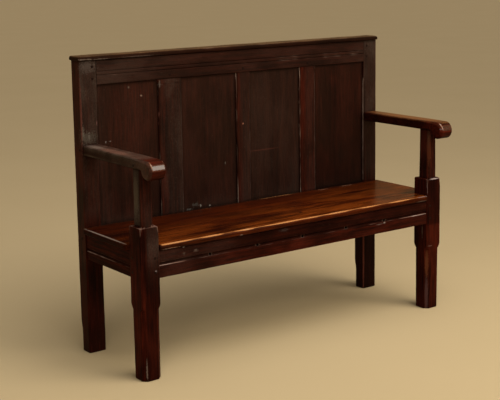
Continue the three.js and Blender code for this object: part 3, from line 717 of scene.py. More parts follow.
ARC_STEPS = 4
ROUND_STEPS = 6
STOP_STEPS = 8
FEW_POINTS = 6
NEAR_EDGE, NEAR_SHARE = 3 * MM, 0.12
OFF_EDGE, OFF_SHARE = 8 * MM, 0.28
EDGE_FADE = 4.5 * MM
BARE_FACE, NARROW_FACE = 2 * MM, 30 * MM
SHARP_TURN = math.radians(80)
ROUNDING_SHARE = 0.45
SEAM = 0.005 * MM
SPECK = 0.002 * MM
SHARP_EDGE = math.radians(42)
GRAIN_SHIFT = 9.0
WAVES, WAVE_SPREAD = 7, (0.6, 1.8)
CHIP_LENGTHS, CHIP_DEPTHS = (0.5, 1.6), (0.35, 1.0)
CHIPPED_FROM, MOST_WEAR, END_WEAR = 0.6, 1.2, 0.9
CLEAR_OF_END = 1.2


def divided(vectors: np.ndarray, lengths: np.ndarray, least: float = TINY) -> np.ndarray:
    """Returns vectors over their lengths, or 0 where a length isn't more than least."""
    return np.divide(vectors, lengths, out=np.zeros_like(vectors), where=lengths > least)


def turned_over(corners: Sequence[Corner]) -> list[Corner]:
    """Returns corners with across and up changed over."""
    return [Corner(c.up, c.across, c.rounding) for c in corners]


def far_half(stations: Sequence[Station]) -> list[Station]:
    """Returns the sections of the other half of a timber that is alike at both ends."""
    return [Station(-station.place, station.corners) for station in stations[::-1]]


def face_count(length: float, spacing: float) -> int:
    """Finds how many points a face needs between its ends.

    Args:
        length: the face's length.
        spacing: about how far apart they lie.

    Returns:
        The number.
    """
    if length < BARE_FACE:
        return 0
    if length < NARROW_FACE:
        return max(1, round(length / spacing))
    return 4 + math.ceil((length - 2 * OFF_EDGE) / spacing)


def face_shares(length: float, count: int) -> np.ndarray:
    """Spreads points along a face, closer together near its ends.

    Args:
        length: the face's length.
        count: how many points it has between its ends.

    Returns:
        Shares of the length, rising.
    """
    if count < FEW_POINTS or length <= 0:
        return np.arange(1, count + 1) / (count + 1)
    first, off = min(NEAR_EDGE / length, NEAR_SHARE), min(OFF_EDGE / length, OFF_SHARE)
    return np.concatenate([[first], np.linspace(off, 1 - off, count - 2), [1 - first]])


def ring(corners: Sequence[Corner], counts: Sequence[int]) -> tuple[np.ndarray, np.ndarray]:
    """Lays points round a section.

    Args:
        corners: the section's corners in order.
        counts: points on the face that follows each corner.

    Returns:
        Points across the timber, and how exposed to wear each is, from 0 to 1.
    """
    spots = np.array([(c.across, c.up) for c in corners])
    after = np.roll(spots, -1, 0) - spots
    lengths = np.linalg.norm(after, axis=1)
    before_lengths = np.roll(lengths, 1)
    steps = divided(after, lengths[:, None])
    before = np.roll(steps, 1, 0)
    area = np.sum(spots[:, 0] * np.roll(spots[:, 1], -1) - np.roll(spots[:, 0], -1) * spots[:, 1])
    turn = np.arctan2(before[:, 0] * steps[:, 1] - before[:, 1] * steps[:, 0], np.sum(before * steps, 1))
    exposed = unit(turn * np.sign(area) / SHARP_TURN)
    shortest = ROUNDING_SHARE * np.minimum(lengths, before_lengths)
    cut = np.minimum([c.rounding for c in corners], shortest)
    points, wear = [], []
    share = np.linspace(0, 1, ARC_STEPS + 1)[:, None]
    for i, spot in enumerate(spots):
        start, end = spot - before[i] * cut[i], spot + steps[i] * cut[i]
        points.append((1 - share) ** 2 * start + 2 * share * (1 - share) * spot + share**2 * end)
        wear.append(np.full(ARC_STEPS + 1, exposed[i]))
        follow = (i + 1) % len(spots)
        finish = spots[follow] - steps[i] * cut[follow]
        along = face_shares(lengths[i], counts[i])[:, None]
        points.append(end + along * (finish - end))
        span = np.linalg.norm(finish - end)
        from_start = exposed[i] * np.exp(-along[:, 0] * span / EDGE_FADE)
        from_end = exposed[follow] * np.exp(-(1 - along[:, 0]) * span / EDGE_FADE)
        wear.append(np.maximum(from_start, from_end))
    return np.concatenate(points), np.concatenate(wear)


def ripple(points: np.ndarray, rng: np.random.Generator, length: float) -> np.ndarray:
    """Adds up waves of many directions.

    Args:
        points: places, with x, y and z last.
        rng: the source of the waves' directions and phases.
        length: their typical wavelength.

    Returns:
        A smooth irregular value from -1 to 1 at each point.
    """
    total = np.zeros(points.shape[:-1])
    for _ in range(WAVES):
        direction = rng.normal(size=3)
        direction *= 2 * math.pi / (length * rng.uniform(*WAVE_SPREAD) * np.linalg.norm(direction))
        total += np.sin(points @ direction + rng.uniform(0, 2 * math.pi))
    return np.clip(total / math.sqrt(WAVES), -1, 1)


@dataclass
class Skin:
    """The points of a closed skin, ring after ring, and how exposed to wear each is."""

    points: np.ndarray
    wear: np.ndarray
    axis: Axis

    @classmethod
    def through(
        cls, axis: Axis, stations: Sequence[Station], step: float, spacing: float, soft: float = 0.0
    ) -> "Skin":
        """Makes a skin through the sections of a timber.

        Args:
            axis: the way the timber runs.
            stations: its sections in order, with equally many corners.
            step: the most that two rings lie apart.
            spacing: about how far apart the points on a face lie.
            soft: how far the ends' edges are eased.

        Returns:
            The skin.
        """
        counts = cls.face_counts(stations, spacing)
        rings = []
        for first, second in zip(stations, stations[1:]):
            pieces = max(1, math.ceil(abs(second.place - first.place) / step))
            rings += [cls.between(first, second, k / pieces) for k in range(pieces)]
        rings.append(stations[-1])
        layers = [(station.place, *ring(station.corners, counts)) for station in rings]
        layers = cls.eased(cls.eased(layers, soft)[::-1], soft)[::-1]
        points = np.zeros((len(layers), len(layers[0][1]), 3))
        along, across, up = axis.value
        for row, (place, flat, _) in zip(points, layers):
            row[:, along], row[:, across], row[:, up] = place, flat[:, 0], flat[:, 1]
        return cls(points, np.array([wear for _, _, wear in layers]), axis)

    @classmethod
    def straight(
        cls, axis: Axis, corners: Sequence[Corner], start: float, end: float, **spread: float
    ) -> "Skin":
        """Returns the skin of a timber with one section from start to end."""
        return cls.through(axis, [Station(start, corners), Station(end, corners)], **spread)

    @staticmethod
    def face_counts(stations: Sequence[Station], spacing: float) -> list[int]:
        """Finds how many points each face needs at its longest.

        Args:
            stations: the timber's sections.
            spacing: about how far apart the points lie.

        Returns:
            The number on the face that follows each corner.
        """
        counts = []
        for i in range(len(stations[0].corners)):
            pairs = [(s.corners[i], s.corners[(i + 1) % len(s.corners)]) for s in stations]
            longest = max(math.hypot(b.across - a.across, b.up - a.up) for a, b in pairs)
            counts.append(face_count(longest, spacing))
        return counts

    @staticmethod
    def between(first: Station, second: Station, share: float) -> Station:
        """Finds a section between two others.

        Args:
            first: the section at share 0.
            second: the section at share 1.
            share: how far from the first to the second it lies.

        Returns:
            The section.
        """
        corners = [
            Corner(
                a.across + (b.across - a.across) * share,
                a.up + (b.up - a.up) * share,
                a.rounding + (b.rounding - a.rounding) * share,
            )
            for a, b in zip(first.corners, second.corners)
        ]
        return Station(first.place + (second.place - first.place) * share, corners)

    @staticmethod
    def eased(layers: list, soft: float) -> list:
        """Rounds the first end's edge.

        Args:
            layers: each ring's place, points and wear.
            soft: how far the edge is rounded.

        Returns:
            The layers with the rounded end.
        """
        if soft <= 0:
            return layers
        place, flat, wear = layers[0]
        sense = math.copysign(1, layers[-1][0] - place)
        kept = [layer for layer in layers if (layer[0] - place) * sense > soft * CLEAR_OF_END]
        outward = np.roll(flat, 1, 0) - np.roll(flat, -1, 0)
        outward = np.stack([outward[:, 1], -outward[:, 0]], 1)
        outward = divided(outward, np.linalg.norm(outward, axis=1, keepdims=True))
        if np.sum(outward * (flat - flat.mean(0))) < 0:
            outward = -outward
        added = []
        for angle in quarter_turn(ARC_STEPS):
            edge = flat - outward * soft * (1 - math.sin(angle))
            added.append((place + sense * soft * (1 - math.cos(angle)), edge, np.maximum(wear, END_WEAR)))
        return added + kept

    def normals(self) -> np.ndarray:
        """Works out the way that each point faces.

        Returns:
            Outward directions of length 1.
        """
        along = np.gradient(self.points, axis=0)
        around = np.roll(self.points, -1, 1) - np.roll(self.points, 1, 1)
        out = np.cross(along, around)
        size = np.linalg.norm(out, axis=2, keepdims=True)
        out = divided(out, size, TINY * MM)
        centre = self.points.mean(1, keepdims=True)
        return out * np.sign(np.sum(out * (self.points - centre)))

    def rubbed(self, amount: Look) -> "Skin":
        """Returns the skin with its wear raised where amount says so."""
        wear = np.maximum(self.wear, amount(Spots(self.points, self.normals())))
        return Skin(self.points, wear, self.axis)

    def mirrored(self) -> "Skin":
        """Returns the same skin for the other end of the bench."""
        return Skin(self.points * np.array([-1.0, 1.0, 1.0]), self.wear, self.axis)

    def aged(self, ageing: Ageing, rng: np.random.Generator) -> "Skin":
        """Wears the skin. Every point stays or moves inward.

        Args:
            ageing: how much it has worn.
            rng: the source of its marks.

        Returns:
            The worn skin.
        """
        wave = ageing.wave * (0.5 + 0.5 * ripple(self.points, rng, ageing.wave_length))
        patch = 0.5 + 0.5 * ripple(self.points, rng, ageing.rub_length)
        inward = wave + ageing.rub * self.wear**2 * patch**2
        wear = self.wear * (0.55 + 0.45 * patch)
        exposed = np.argwhere(self.wear > CHIPPED_FROM)
        for _ in range(ageing.chips if len(exposed) else 0):
            spot = self.points[tuple(exposed[rng.integers(len(exposed))])]
            reach = ageing.chip_length * rng.uniform(*CHIP_LENGTHS)
            offset = self.points - spot
            offset[..., self.axis.value[0]] *= 0.5
            hit = np.exp(-np.sum(offset**2, 2) / reach**2)
            inward = inward + ageing.chip_depth * rng.uniform(*CHIP_DEPTHS) * hit * self.wear
            wear = np.clip(wear + 0.5 * hit * self.wear, 0, MOST_WEAR)
        return Skin(self.points - self.normals() * inward[..., None], wear, self.axis)

    def mesh(self, name: str) -> bpy.types.Mesh:
        """Makes a closed mesh of the skin.

        Args:
            name: the mesh's name.

        Returns:
            The mesh.
        """
        rings, around = self.wear.shape
        index = np.arange(rings * around).reshape(rings, around)
        beside = np.roll(index, -1, 1)
        quads = np.stack([index[:-1], beside[:-1], beside[1:], index[1:]], 2).reshape(-1, 4)
        mesh = bpy.data.meshes.new(name)
        caps = [index[0][::-1].tolist(), index[-1].tolist()]
        mesh.from_pydata(self.points.reshape(-1, 3).tolist(), [], quads.tolist() + caps)
        return mesh


def cleaned(mesh: bpy.types.Mesh, seam: float = SEAM) -> None:
    """Joins points that coincide and turns every face outward.

    Args:
        mesh: the mesh.
        seam: how close points have to lie to be joined, or 0 to leave them.
    """
    work = bmesh.new()
    work.from_mesh(mesh)
    if seam:
        bmesh.ops.remove_doubles(work, verts=work.verts, dist=seam)
        bmesh.ops.dissolve_degenerate(work, edges=work.edges, dist=SPECK)
    bmesh.ops.recalc_face_normals(work, faces=work.faces)
    work.to_mesh(mesh)
    work.free()


@dataclass
class Timber:
    """One piece of wood: what it stands for in the frame, its skin, its finish and its looks."""

    node: str
    slot: str
    skin: Skin
    finish: Finish
    seed: int
    ageing: Ageing = Ageing()
    tone: Toning = lambda at: Tone()
    # Darkening from dirty wood and painted shade.
    grime: Look = lambda at: 0.0
    rub: Look = lambda at: 0.5

    def make(self) -> bpy.types.Object:
        """Builds the piece and puts it in the frame.

        Returns:
            The object.
        """
        rng = np.random.default_rng(self.seed)
        worn = self.skin.aged(self.ageing, rng)
        worn.points = np.clip(worn.points, *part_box(self.node))
        name = f"{self.node}_oak"
        mesh = worn.mesh(name)
        points = worn.points.reshape(-1, 3)
        count = len(points)
        at = Spots(points, worn.normals().reshape(-1, 3))
        grain = points[:, list(self.skin.axis.value)] + rng.uniform(-GRAIN_SHIFT, GRAIN_SHIFT, 3)
        Attribute.GRAIN.keep(mesh, grain)
        Attribute.WEAR.keep(mesh, worn.wear.reshape(-1) * self.rub(at))
        Attribute.GRIME.keep(mesh, np.broadcast_to(unit(self.grime(at)), count))
        Attribute.TONE.keep(mesh, self.tone(at).rows(count))
        cleaned(mesh)
        mesh.shade_smooth()
        mesh.set_sharp_from_angle(angle=SHARP_EDGE)
        mesh.materials.append(self.finish.material())
        piece = put_in_scene(name, mesh)
        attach(piece, BODY)
        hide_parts(self.node)
        log.info("%s: %d faces", name, len(mesh.polygons))
        return piece

    def make_pair(self) -> None:
        """Builds the right piece, then the left one: its mirror image, aged by the next seed."""
        sides = (("right", self.skin, self.seed), ("left", self.skin.mirrored(), self.seed + 1))
        for side, skin, seed in sides:
            replace(self, node=f"{self.node}_{side}", skin=skin, seed=seed).make()


def bore(piece: bpy.types.Object, rod: bpy.types.Object) -> None:
    """Cuts a rod out of a piece and removes the rod.

    Args:
        piece: the object that changes.
        rod: the solid that cuts it.
    """
    change = piece.modifiers.new("bore", "BOOLEAN")
    change.solver = "EXACT"
    change.operation = "DIFFERENCE"
    change.object = rod
    bpy.context.view_layer.update()
    made = bpy.data.meshes.new_from_object(piece.evaluated_get(bpy.context.evaluated_depsgraph_get()))
    piece.modifiers.clear()
    piece.data = made
    bpy.data.objects.remove(rod)


def cut_corners(
    x0: float, x1: float, y0: float, y1: float, cuts: Sequence[float], rounding: float
) -> list[Corner]:
    """Cuts the corners of a rectangle.

    Args:
        x0: its left side.
        x1: its right side.
        y0: its front.
        y1: its back.
        cuts: how far the front left, front right, back right and back left corners are cut.
        rounding: how far the new corners are eased.

    Returns:
        Eight corners, from the front left cut.
    """
    a, b, c, d = cuts
    spots = [
        (x0 + a, y0), (x1 - b, y0), (x1, y0 + b), (x1, y1 - c),
        (x1 - c, y1), (x0 + d, y1), (x0, y1 - d), (x0, y0 + a),
    ]
    return [Corner(x, y, rounding) for x, y in spots]


def groove_corners(mouth: float, depth: float, plan: Plan) -> list[Corner]:
    """Draws a panel groove in an upright face.

    Args:
        mouth: the face's place.
        depth: how far the groove goes in.
        plan: gives the groove's front and back walls.

    Returns:
        Its four corners, from the front.
    """
    front, back, eased = plan.groove_front, plan.groove_back, 0.2 * MM
    floor = mouth + depth
    spots = [(mouth, front, eased), (floor, front, 0.0), (floor, back, 0.0), (mouth, back, eased)]
    return [Corner(*spot) for spot in spots]


# Sub-assemblies


@dataclass
class FrontPost:
    """A front leg, the block at the seat and the arm support, in one timber."""

    plan: Plan
    leg_cut: float = 12 * MM
    foot_cut: float = 13.5 * MM
    stop_drop: float = 78 * MM
    stop_run: float = 22 * MM
    foot_wear: float = 3 * MM
    block_top: float = 501 * MM
    block_round: float = 4 * MM
    block_in: float = 2 * MM
    base: tuple[float, float] = (43 * MM, 58 * MM)
    top: tuple[float, float] = (41 * MM, 54 * MM)
    support_cut: float = 8 * MM
    arm_thickness: float = 33 * MM
    dusty_from: float = -156 * MM
    front_edge: float = 6 * MM
    face_dust: float = 190 * MM
    outer_stripe: float = 34 * MM
    chamfer_highlight_drop: float = 35 * MM
    chamfer_highlight_reach: float = 80 * MM

    @property
    def middle(self) -> tuple[float, float]:
        """Returns the middle of the post across and from front to back."""
        return (self.plan.leg_inner + self.plan.outer) / 2, (self.plan.front + self.plan.leg_back) / 2

    @property
    def arm_under(self) -> float:
        """Returns the height of the arm's underside."""
        return self.plan.arm_top - self.arm_thickness

    def stations(self) -> list[Station]:
        """Works out the sections from the foot to the underside of the arm.

        Returns:
            The sections, rising.
        """
        plan = self.plan
        x0, x1, y0, y1 = plan.leg_inner, plan.outer, plan.front, plan.leg_back

        def square(z: float, inset: float, cut: float, rounding: float = 1.0 * MM) -> Station:
            """Returns a square section that lies inset from the leg's faces."""
            sides = (x0 + inset, x1 - inset, y0 + inset, y1 - inset)
            return Station(z, cut_corners(*sides, [cut] * 4, rounding))

        made = [
            square(0.0, self.foot_wear, self.foot_cut),
            square(0.4 * self.foot_wear, 0.3 * self.foot_wear, self.foot_cut),
            square(1.6 * self.foot_wear, 0.0, self.foot_cut),
        ]
        stop = plan.rail_under - self.stop_drop
        for i in range(STOP_STEPS, -1, -1):
            share = i / STOP_STEPS
            cut = plan.arris + (self.leg_cut - plan.arris) * share**2
            made.append(square(stop - self.stop_run * share, 0.0, cut))
        for angle in quarter_turn(ROUND_STEPS):
            inset = self.block_in * (1 - math.cos(angle))
            height = self.block_top - self.block_round * (1 - math.sin(angle))
            made.append(square(height, inset, plan.arris + inset, 1.6 * MM))
        x, y = self.middle
        for z, (width, depth) in ((self.block_top, self.base), (self.arm_under - plan.fit, self.top)):
            sides = (x - width / 2, x + width / 2, y - depth / 2, y + depth / 2)
            made.append(Station(z, cut_corners(*sides, [self.support_cut] * 4, 1.4 * MM)))
        return made

    def tone(self, at: Spots) -> Tone:
        """Colours the posts. The left support is dusty on its outer side, the right post is redder, and the
        right support carries a painted highlight on its front chamfer.

        Args:
            at: the post's points.

        Returns:
            Their tone.
        """
        left = at.x < 0
        support = rise(at.z, self.block_top, 5 * MM)
        side = unit(-at.nx * 1.4 - 0.2)
        front = unit(-at.ny)
        stripe = 0.8 * front * near(at.x, -self.plan.outer, self.outer_stripe)
        face = front * left * rise(at.x, 18 * MM - self.plan.outer, 10 * MM)
        behind = np.maximum(rise(at.y, self.dusty_from, 6 * MM), 0.1)
        corner = unit(1.3 - np.abs(np.abs(at.nx) - np.abs(at.ny)) * 2.2)
        dusty_face = 0.42 * face * near(at.z, self.plan.seat_top, self.face_dust)
        dust = 0.02 + support * left * (0.1 + side * behind) + dusty_face
        # A painted highlight, carried as dust: a pale streak on the right support's front chamfer under the
        # arm.
        chamfer_highlight = near(at.z, self.arm_under - self.chamfer_highlight_drop, self.chamfer_highlight_reach)
        dust += support * (at.x > 0) * (0.1 + 0.8 * corner * (side > 0) * chamfer_highlight)
        red = np.where(left, 0.3 + 0.55 * stripe + 0.8 * side * (1 - support), 0.7 + 0.4 * support)
        red += 0.6 * corner + 0.2 * front * (at.z < self.plan.rail_under)
        return Tone(dust, red)

    def edges(self, at: Spots) -> Amount:
        """Wears the square edge round the top of the block, and paints a pale highlight line along it.

        Args:
            at: the post's points.

        Returns:
            How exposed each is.
        """
        x, y = self.middle
        beyond = np.maximum(np.abs(np.abs(at.x) - x) - self.base[0] / 2, np.abs(at.y - y) - self.base[1] / 2)
        shown = np.where(at.x < 0, 0.85, at.y < self.plan.front + self.front_edge)
        return 0.8 * shown * near(at.z, self.block_top - 0.5 * MM, 2.4 * MM) * rise(beyond, 0, 4 * MM)

    def rub(self, at: Spots) -> Amount:
        """Rubs the posts, most round the top of the block, where the pale line is partly painted highlight.

        Args:
            at: the post's points.

        Returns:
            How rubbed each is.
        """
        shown = np.where(at.x < 0, 0.9, 0.1 + 1.2 * (at.y < self.plan.front + self.front_edge))
        arris = 0.1 * (at.x < 0) * near(at.z, self.block_top, 90 * MM)
        below = 0.6 + shown * 0.8 * near(at.z, self.block_top, 4 * MM) + arris
        return np.where(at.z > self.block_top + 1 * MM, 0.25, below)

    def grime(self, at: Spots) -> Amount:
        """Darkens the step above the block and the joint under the arm with dirty wood and painted shade, and
        darkens the right block's front face.

        Args:
            at: the post's points.

        Returns:
            How dirty each is.
        """
        shade = 0.5 * (at.x > 0) * unit(-at.ny) * (at.z > self.plan.rail_under) * (at.z < self.block_top)
        step, joint = near(at.z, self.block_top + 5 * MM, 5 * MM), near(at.z, self.arm_under, 8 * MM)
        return 0.8 * step + 0.7 * joint + shade

    def build(self) -> None:
        """Builds both posts."""
        skin = Skin.through(Axis.Z, self.stations(), step=9 * MM, spacing=8 * MM)
        ageing, looks = Ageing(chips=26), (self.tone, self.grime, self.rub)
        for side, placed, seed in (("right", skin, 11), ("left", skin.mirrored(), 12)):
            node, worn = f"front_post_{side}", placed.rubbed(self.edges)
            Timber(node, "oak_upright", worn, Finish.POST, seed, ageing, *looks).make()


@dataclass
class RearPost:
    """A rear post, grooved for the end panel."""

    plan: Plan
    foot_cut: float = 8 * MM
    stop_top: float = 115 * MM
    stop_run: float = 45 * MM
    front_wear: float = 4 * MM
    panel_cut: float = 5 * MM
    panel_stop_drop: float = 58 * MM
    panel_stop_run: float = 22 * MM
    dust_from: float = 0.62
    dust_run: float = 0.36
    outer_wear: float = 0.82
    outer_wear_reach: float = 0.2

    @property
    def panel_stop(self) -> float:
        """Returns the height where the chamfer beside the panel stops."""
        return self.plan.top_rail_under - self.panel_stop_drop

    def section(self, z: float, cuts: Sequence[float], groove: float = 0.0, inset: float = 0.0) -> Station:
        """Draws a section.

        Args:
            z: its height.
            cuts: how far the corners are cut, from the front one beside the panel.
            groove: depth of the panel groove.
            inset: how far the faces lie inside the post's.

        Returns:
            The station.
        """
        plan = self.plan
        sides = (plan.post_inner + inset, plan.outer - inset, plan.post_face + inset, plan.post_back - inset)
        corners = cut_corners(*sides, cuts, 1.0 * MM)
        return Station(z, corners[:7] + groove_corners(sides[0], groove, plan)[::-1] + corners[7:])

    def stations(self) -> list[Station]:
        """Works out the sections from the foot to the cap.

        Returns:
            The sections, rising.
        """
        plan = self.plan
        depth = plan.groove_depth
        low_groove, high_groove = plan.seat_under - depth, plan.top_rail_under + depth
        plain = [plan.arris] * 4
        beside_panel = [self.panel_cut] + [plan.arris] * 3

        def leg(back: float) -> list[float]:
            """Returns the leg's cuts, given those of its back corners."""
            return [self.front_wear, self.front_wear, back, back]

        made = [
            self.section(0.0, leg(self.foot_cut), inset=plan.arris),
            self.section(plan.arris, leg(self.foot_cut)),
        ]
        for i in range(STOP_STEPS, -1, -1):
            share = (1 - math.cos(math.pi * i / STOP_STEPS)) / 2
            cut = plan.arris + (self.foot_cut - plan.arris) * share
            made.append(self.section(self.stop_top - self.stop_run * i / STOP_STEPS, leg(cut)))
        return made + [
            self.section(plan.rail_under - self.stop_run, leg(plan.arris)),
            self.section(plan.rail_under, plain),
            self.section(low_groove, plain),
            self.section(low_groove, plain, depth),
            self.section(plan.seat_top, beside_panel, depth),
            self.section(self.panel_stop - self.panel_stop_run, beside_panel, depth),
            self.section(self.panel_stop, plain, depth),
            self.section(high_groove, plain, depth),
            self.section(high_groove, plain),
            self.section(plan.post_top, plain),
        ]

    def tone(self, at: Spots) -> Tone:
        """Colours the posts. Their faces are dusty above the seat, the left one most.

        Args:
            at: the post's points.

        Returns:
            Their tone.
        """
        left = at.x < 0
        facing = unit(-at.ny * 1.5 - 0.3)
        upper = rise(at.z, self.plan.seat_top, 60 * MM)
        climb = rise(at.z, self.dust_from, self.dust_run)
        joint = near(at.z, self.plan.arm_top + 14 * MM, 46 * MM)
        dust = facing * upper * np.where(left, 0.35 + 0.75 * climb + 0.5 * joint, 0.45 + 0.35 * climb)
        dust += 0.12 * (1 - facing) * left * upper
        red = 0.3 + 0.75 * (1 - facing) * np.where(left, 1.0, 0.6) + 0.25 * facing * left * (1 - climb)
        return Tone(dust, red + 0.3 * left * (at.z < self.plan.rail_under))

    def rub(self, at: Spots) -> Amount:
        """Rubs the posts. The right one is palest beside its panel.

        Args:
            at: the post's points.

        Returns:
            How rubbed each is.
        """
        plan = self.plan
        inner = unit(1 - (at.x - plan.post_inner) / (2.8 * MM)) * (at.ny < -0.15)
        beside = inner * (at.x > 0) * (at.z > plan.seat_top) * (at.z < self.panel_stop)
        outer = (at.nx < -0.3) * (at.ny < -0.3) * (at.x < 5 * MM - plan.outer)
        edge = 1.5 * outer * near(at.z, self.outer_wear, self.outer_wear_reach)
        return 0.35 + 2.6 * beside + edge + 0.1 * (at.z < plan.rail_under)

    def grime(self, at: Spots) -> Amount:
        """Darkens the posts under the cap, round the arm's joint and down the leg below the seat rails: dirty
        wood and painted shade.

        Args:
            at: the post's points.

        Returns:
            How dirty each is.
        """
        plan = self.plan
        joint = near(at.z, plan.arm_top - 18 * MM, 30 * MM) * near(at.y, plan.post_face, 6 * MM)
        # Painted shadow down the leg under the seat.
        leg = unit((plan.rail_under - at.z) / (30 * MM)) * np.where(at.x < 0, 0.4, 0.6)
        return 0.6 * near(at.z, plan.post_top, 6 * MM) + 0.6 * joint + leg

    def build(self) -> None:
        """Builds both posts."""
        skin = Skin.through(Axis.Z, self.stations(), step=12 * MM, spacing=9 * MM)
        looks = (self.tone, self.grime, self.rub)
        Timber("rear_post", "oak_upright", skin, Finish.FRAME, 21, Ageing(chips=22), *looks).make_pair()


@dataclass
class Rails:
    """The top rail with its scratch moulding, and the rail behind the seat."""

    plan: Plan
    moulding_up: float = 32 * MM
    moulding_width: float = 12 * MM
    quirk_width: float = 3 * MM
    quirk_depth: float = 2 * MM

    @property
    def lines(self) -> tuple[float, float]:
        """Returns the heights of the moulding's two scratched lines."""
        lower = self.plan.top_rail_under + self.moulding_up
        return lower, lower + self.moulding_width

    def quirk(self, z: float) -> list[Corner]:
        """Draws a scratched line in the top rail.

        Args:
            z: its height.

        Returns:
            Its corners, from above.
        """
        face, half = self.plan.post_face, self.quirk_width / 2
        return [
            Corner(face, z + half, 0.5 * MM),
            Corner(face + self.quirk_depth, z, 0.3 * MM),
            Corner(face, z - half, 0.5 * MM),
        ]

    @staticmethod
    def tone(at: Spots) -> Tone:
        """Returns the tone of the top rail: dusty toward its ends."""
        return Tone(0.25 + 0.5 * unit((-at.x - 0.25) / 0.4) + 0.25 * rise(at.x, 0.45, 0.2), 0.4)

    def rub(self, at: Spots) -> Amount:
        """Returns how rubbed the top rail is: the moulding most, toward the right."""
        moulded = near(at.z, self.lines[0] + self.moulding_width / 2, 14 * MM) > 0
        return 0.25 + moulded * (0.35 + 0.5 * unit(at.x / 0.45))

    def grime(self, at: Spots) -> Amount:
        """Darkens the moulding's lines and the rail under the cap: dirty wood and painted shade.

        Args:
            at: the rail's points.

        Returns:
            How dirty each is.
        """
        lines = sum(near(at.z, line, 3 * MM) for line in self.lines)
        plain = np.maximum(rise(at.x, -0.62, 0.4), 0.35)
        scratched = lines * (at.y < self.plan.post_face + 3 * MM) * plain
        return 0.9 * scratched + 0.8 * near(at.z, self.plan.post_top, 7 * MM)

    def build(self) -> None:
        """Builds both rails."""
        plan = self.plan
        y0, y1, arris = plan.post_face, plan.frame_back, plan.arris
        end = plan.post_inner - plan.fit

        z0, z1 = plan.top_rail_under, plan.post_top
        groove = groove_corners(z0, plan.groove_depth, plan)
        corners = [Corner(y0 + arris, z0)] + turned_over(groove)
        corners += [Corner(y1, z0), Corner(y1, z1), Corner(y0, z1, 0.2 * MM)]
        corners += self.quirk(self.lines[1]) + self.quirk(self.lines[0]) + [Corner(y0, z0 + arris)]
        skin = Skin.straight(Axis.X, corners, -end, end, step=14 * MM, spacing=9 * MM)
        looks = (self.tone, self.grime, self.rub)
        Timber("top_rail", "oak_rail", skin, Finish.FRAME, 31, Ageing(), *looks).make()

        z0, z1 = plan.rail_under, plan.seat_under
        groove = groove_corners(z1, -plan.groove_depth, plan)[::-1]
        corners = [
            Corner(y0 + arris, z0), Corner(y1 - arris, z0), Corner(y1, z0 + arris), Corner(y1, z1),
            *turned_over(groove),
            Corner(y0, z1, 0.2 * MM), Corner(y0, z0 + arris),
        ]
        skin = Skin.straight(Axis.X, corners, -end, end, step=16 * MM, spacing=11 * MM)
        Timber("lower_back_rail", "oak_rail", skin, Finish.FRAME, 32).make()


